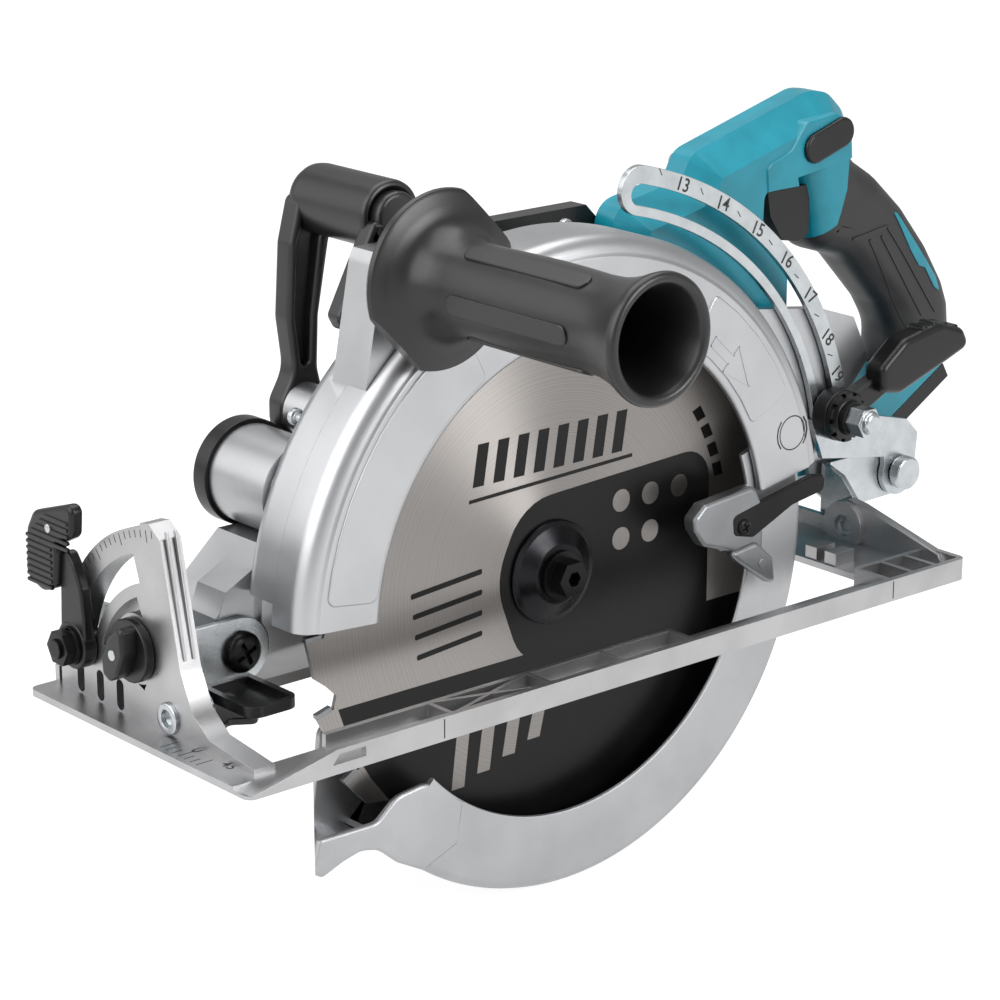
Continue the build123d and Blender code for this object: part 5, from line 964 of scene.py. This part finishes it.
finish_piece(end_ribs, "motor_end_ribs", [nylon], "saw")

# Side grip: one black moulding on a steel stud, with a round hand guard cut flat on two sides, a long waisted
# tube and a flared open end.
grip_black = moulded_plastic("black_grip_nylon", "#151516", "#101011", 0.35, 0.8, 0.02)
dress("side_grip_stud", zinc)
GRIP_X = 84.0
GRIP_Z = 177.0
side_grip = bmesh.new()
grip_profile = [
    (0.0, 12.0), (12.4, 12.0), (13.0, 12.6), (13.0, 22.0), (15.0, 24.5), (24.0, 26.5), (33.0, 28.0),
    (35.2, 29.0), (36.0, 30.6), (35.6, 32.2), (34.0, 33.3), (30.0, 34.0), (26.0, 35.4), (23.0, 37.8),
    (20.8, 41.2), (19.4, 45.6), (18.4, 52.0), (18.4, 64.0), (18.8, 80.0), (19.0, 95.0), (18.8, 110.0),
    (18.4, 122.0), (18.8, 131.0), (20.2, 138.5), (22.2, 145.0), (24.2, 149.8), (25.0, 152.2),
    (24.7, 153.9), (23.7, 154.8), (22.3, 155.0), (21.0, 154.4), (20.0, 152.6), (18.4, 148.6),
    (16.8, 143.6), (15.6, 137.0), (14.6, 129.0), (14.0, 119.0), (14.0, 71.0), (13.0, 70.0), (0.0, 70.0),
]
add_turned(side_grip, grip_profile, (GRIP_X, GRIP_Z), steps=72)
DISC_FLAT = 31.5
for side in (136.0, -44.0):
    away = Vector((cos(radians(side)), 0.0, sin(radians(side))))
    keep_side(side_grip, Vector((GRIP_X, 0.0, GRIP_Z)) * MM + away * DISC_FLAT * MM, away)
for side in (25.0, 95.0, 160.0, 230.0, 300.0):
    ridge = bmesh.new()
    add_plate(ridge, "Z", 17.0, 19.3, 0.5, rectangle(-4, 56, 4, 124, 4))
    take_in(side_grip, ridge, shift(GRIP_X, 0, GRIP_Z) @ Matrix.Rotation(radians(side), 4, "Y"))
finish_piece(side_grip, "side_grip_moulding", [grip_black], "saw", ["side_grip"])

# Loop handle: a black moulding from the boss over to the far side and down to the case, for the left hand.
# Its arm is hollowed between two edges, and zinc-plated bolts hold it.
loop_handle = bmesh.new()
LOOP_X = 72.0
LOOP_Z = 193.0
add_turned(
    loop_handle,
    [(10.5, -51.0), (10.5, -16.5), (11.0, -14.8), (12.2, -14.0), (13.3, -14.1), (14.2, -14.9),
     (14.5, -16.4), (14.5, -59.0), (14.0, -62.2), (12.6, -64.6), (10.4, -65.8), (0.0, -66.0),
     (0.0, -51.0), (10.5, -51.0)],
    (LOOP_X, LOOP_Z), steps=56,
)
add_plate(
    loop_handle, "Y", -66.0, -55.0, 2.4,
    [(62, 196, 4), (86, 196, 4), (91, 177, 14), (93, 146, 16), (90, 124, 16), (97, 112, 8), (97, 97, 10),
     (75, 97, 10), (75, 112, 8), (78, 124, 16), (77, 146, 16), (71, 177, 14)],
    [[(72, 188, 3), (83, 188, 3), (87, 176, 8), (88.6, 146, 8), (86, 126, 3), (82.5, 126, 3),
      (81.4, 146, 8), (76.5, 177, 8)],
     circle(86.0, 108.0, 3.2)],
)
add_plate(
    loop_handle, "Y", -62.6, -59.6, 0.4,
    [(67, 192, 2), (85, 192, 2), (89, 176, 6), (90.5, 146, 6), (87, 122, 2), (81, 122, 2), (79, 146, 6),
     (74, 177, 6)],
)
add_plate(
    loop_handle, "Y", -18.0, -9.2, 2.0,
    [(60, 191, 3), (84, 193, 3), (103, 157, 3), (99, 150, 3), (79, 162, 3)], [circle(LOOP_X, LOOP_Z, 10.5)],
)
finish_piece(loop_handle, "loop_handle_moulding", [grip_black], "saw", ["loop_handle"])
dress("loop_bolt", zinc, 0.4)

# Rear handle: two teal mouldings screwed together, with broad facets on top, and a black rubber grip moulded
# over its rear.
teal = moulded_plastic("teal_abs", "#067c8e", "#047080", 0.33, 0.7, 0.015)
HANDLE_Y = -60.0
FACET = 12.0
COLUMN_ROUND = 14.0
handle_outline = [
    (-84, 168, 12), (-126, 176, 6), (-131, 186, 12), (-204, 206, 20), (-217, 204, 14), (-229, 193, 14),
    (-231, 175, 14), (-247, 162, 20), (-266, 145, 30), (-284, 124, 30), (-296, 106, 20), (-301, 94, 14),
    (-303, 76, 14), (-303, 58, 12), (-258, 32, 6), (-256, 16, 12), (-245, 9, 12), (-215, 14, 10),
    (-104, 17, 12), (-84, 60, 12),
]
hand_hole = [
    (-190, 66, 6), (-182, 72, 6), (-182, 126, 10), (-165, 146, 6), (-166, 166, 4), (-194, 166, 3),
    (-203, 146, 6), (-206, 132, 4), (-228, 125, 12), (-254, 98, 16), (-263, 84, 14), (-267, 70, 6),
]
side_panel = [
    (-163, 148, 4), (-168, 160, 3), (-166.5, 178, 4), (-181.5, 183, 6), (-190.7, 195, 5), (-211, 197, 8),
    (-221, 191, 5), (-224, 156, 6), (-216, 136, 6), (-196, 126, 6),
]
column_zone = [(-186, 170, 0), (-233, 176, 0), (-320, 176, 0), (-320, 70, 0), (-258, 62, 0),
               (-230, 100, 0), (-198, 122, 0)]
brow_outline = [
    (-205.5, 131.5, 14), (-202.5, 146, 16), (-195.5, 168, 16), (-181.5, 187, 15), (-222, 190, 15),
    (-250, 165, 15), (-245, 130, 15), (-226, 122, 14),
]
rubber_zone = [
    (-221, 181, 0), (-219.5, 160, 0), (-214, 144, 0), (-203.5, 136.5, 0), (-190, 131, 0), (-190, 100, 0),
    (-300, 100, 0), (-300, 181, 0),
]


def cut_through(bm, shape, how="DIFFERENCE"):
    """Cuts an outline right through the handle from side to side, or keeps what lies inside it."""
    tool = bmesh.new()
    add_plate(tool, "Y", -95.0, -25.0, 0.0, shape)
    carve(bm, tool, how)


for side, name, replaced in (
    (1, "handle_near_moulding", "handle_shell_near"), (-1, "handle_far_moulding", "handle_shell_far"),
):
    shell = bmesh.new()
    add_plate(shell, "Y", -78.0, -42.0, FACET, handle_outline, steps=0)
    panel = bmesh.new()
    add_plate(panel, "Y", -79.2, -40.8, 1.6, side_panel, steps=1)
    carve(shell, panel, "UNION")
    cut_through(shell, hand_hole)
    cut_through(shell, column_zone)
    brow = bmesh.new()
    add_plate(brow, "Y", -78.5, -41.5, COLUMN_ROUND, brow_outline, steps=5)
    cut_through(brow, rubber_zone)
    carve(shell, brow, "UNION")
    keep_side(shell, (0, HANDLE_Y * MM, 0), (0, -side, 0))
    piece = finish_piece(shell, name, [teal], "saw", [replaced])
    ease_edges(piece, 1.3)

rubber = moulded_plastic("black_tpe_rubber", "#1f1f20", "#18181a", 0.5, 0.7, 0.04)
grip_outline = [
    (-214, 188, 15), (-225, 183, 15), (-231, 172, 16), (-247, 162, 20), (-266, 145, 30), (-284, 124, 30),
    (-296, 106, 20), (-301, 94, 16), (-303, 76, 16), (-299, 58, 15), (-262, 54, 15), (-263, 84, 16),
    (-254, 98, 20), (-228, 125, 20), (-206, 132, 14), (-203, 146, 16), (-196, 168, 16), (-182, 187, 15),
]


def column(proud):
    """The rounded column of the grip, so far proud of its own side faces."""
    part = bmesh.new()
    add_plate(part, "Y", -77.7 - proud, -42.3 + proud, COLUMN_ROUND, grip_outline, steps=5)
    return part


grip = column(0.0)
GRIP_LINES = (
    ((-226, 135.2), (-248.3, 138.5)), ((-248.3, 138.5), (-258.7, 125.9)), ((-258.7, 125.9), (-284.5, 91.6)),
    ((-237, 133.4), (-268.6, 84.9)), ((-244.8, 134.2), (-275.3, 91.1)),
)
for (ax, az), (bx, bz) in GRIP_LINES:
    run = Vector((bx - ax, bz - az))
    lean = Matrix.Rotation(-run.angle_signed(Vector((1, 0))), 4, "Y")
    line = column(0.5)
    cut_bar(line, run.length, 70.0, 1.3, shift((ax + bx) / 2, HANDLE_Y, (az + bz) / 2) @ lean, "INTERSECT")
    take_in(grip, line)
finish_piece(grip, "grip_overmould", [rubber], "saw", ["handle_grip"])
stripe = column(0.4)
stripe_shape = [(-253.3, 144.7, 0.8), (-256.8, 143.2, 0.8), (-285.4, 108.4, 2), (-288, 100.6, 0.8),
                (-283.2, 103.9, 1), (-275.9, 114.5, 2), (-271.5, 116.1, 1), (-265.9, 123.6, 2),
                (-258.6, 135.8, 3)]
cut_through(stripe, stripe_shape, "INTERSECT")
finish_piece(stripe, "grip_stripe", [teal], "saw")

# Handle screws: steel, zinc plated, driven from the far side. Each head has a cross recess and stands a
# little proud of the face there.
HEAD_R = 3.6
SCREW_SPOTS = ((-140, 179, -74.2), (-118, 120, -78.0), (-150, 24, -74.6), (-216, 172, -79.2),
               (-282, 88, -77.7))
shell_screws = bmesh.new()
for x, z, face_y in SCREW_SPOTS:
    top = face_y - 0.9
    screw = bmesh.new()
    head = [(0.0, top), (2.4, top), (3.2, top + 0.3), (HEAD_R, top + 0.9), (HEAD_R, top + 3.4),
            (2.0, top + 3.4), (2.0, -52.0), (0.0, -52.0)]
    add_turned(screw, head, (x, z), steps=32)
    for length, height in ((4.2, 0.9), (0.9, 4.2)):
        cut_bar(screw, length, 2.4, height, shift(x, top, z))
    take_in(shell_screws, screw)
finish_piece(shell_screws, "handle_screws", [zinc], "saw", ["shell_screws"])

# Trigger and lock-off button: black mouldings that slide in the handle. Behind them sit the switch, the
# controller and the battery's terminals.
dress("trigger", nylon, 3.0, 4)
dress("lock_off_button", nylon, 1.5, 3)
for name in ("switch_unit", "controller"):
    dress(name, nylon)
dress("terminal_plate", nylon, 0.4)
brass = zinc_plate("contact_brass", "#c9a44a", "#b08d3a", 0.3)
dress("terminal_blades", brass)

# Floor, light and camera: a plain pale studio floor that glows a little, four soft boxes, and the
# photograph's view. None of it is part of the object.
FLOOR_Z = cad_box[0][2]
WHITE = (1.0, 1.0, 1.0, 1.0)
floor = bmesh.new()
bmesh.ops.create_grid(floor, x_segments=1, y_segments=1, size=6.0, matrix=Matrix.Translation((0, 0, FLOOR_Z)))
floor_mesh = bpy.data.meshes.new("studio_floor")
floor.to_mesh(floor_mesh)
floor.free()
floor_paint = bpy.data.materials.new("white_studio_paper")
floor_paint.use_nodes = True
fill(floor_paint.node_tree, floor_paint.node_tree.nodes["Principled BSDF"], {
    "Base Color": linear("#808080"),
    "Roughness": 0.9,
    "Emission Color": WHITE,
    "Emission Strength": 0.86,
})
floor_mesh.materials.append(floor_paint)
floor_object = bpy.data.objects.new("studio_floor", floor_mesh)
bpy.context.collection.objects.link(floor_object)

world = bpy.data.worlds.new("studio")
world.use_nodes = True
fill(world.node_tree, world.node_tree.nodes["Background"], {"Color": WHITE, "Strength": 0.5})
bpy.context.scene.world = world

LIGHT_TARGET = Vector((0.0, 0.0, 0.05))
for name, place, size, power in (
    ("key", (1.5, 0.1, 1.1), 1.7, 28.0),
    ("rim", (1.2, -1.1, 0.9), 1.4, 8.0),
    ("fill", (-0.55, 1.8, 0.85), 0.9, 25.0),
    ("top", (-0.2, -0.3, 1.8), 1.8, 28.0),
):
    light = bpy.data.lights.new(name, "AREA")
    light.shape = "SQUARE"
    light.size = size
    light.energy = power
    lamp = bpy.data.objects.new(name, light)
    aim = (Vector(place) - LIGHT_TARGET).to_track_quat("Z", "Y").to_matrix().to_4x4()
    lamp.matrix_world = Matrix.Translation(place) @ aim
    bpy.context.collection.objects.link(lamp)

camera = bpy.data.cameras.new("view")
camera.lens = 115.6
camera.sensor_width = 36.0
camera.clip_end = 20.0
camera_object = bpy.data.objects.new("view", camera)
AZIMUTH = radians(40.68)
RISE = radians(17.25)
back = Vector((sin(AZIMUTH) * cos(RISE), cos(AZIMUTH) * cos(RISE), sin(RISE)))
right = Vector((-cos(AZIMUTH), sin(AZIMUTH), 0.0))
up = back.cross(right)
turn = Matrix((right, up, back)).transposed().to_4x4()
CAMERA_SPOT = (852.2, 959.5, 462.5)
camera_object.matrix_world = shift(*CAMERA_SPOT) @ turn
bpy.context.collection.objects.link(camera_object)
bpy.context.scene.camera = camera_object
bpy.context.scene.view_settings.view_transform = "Standard"
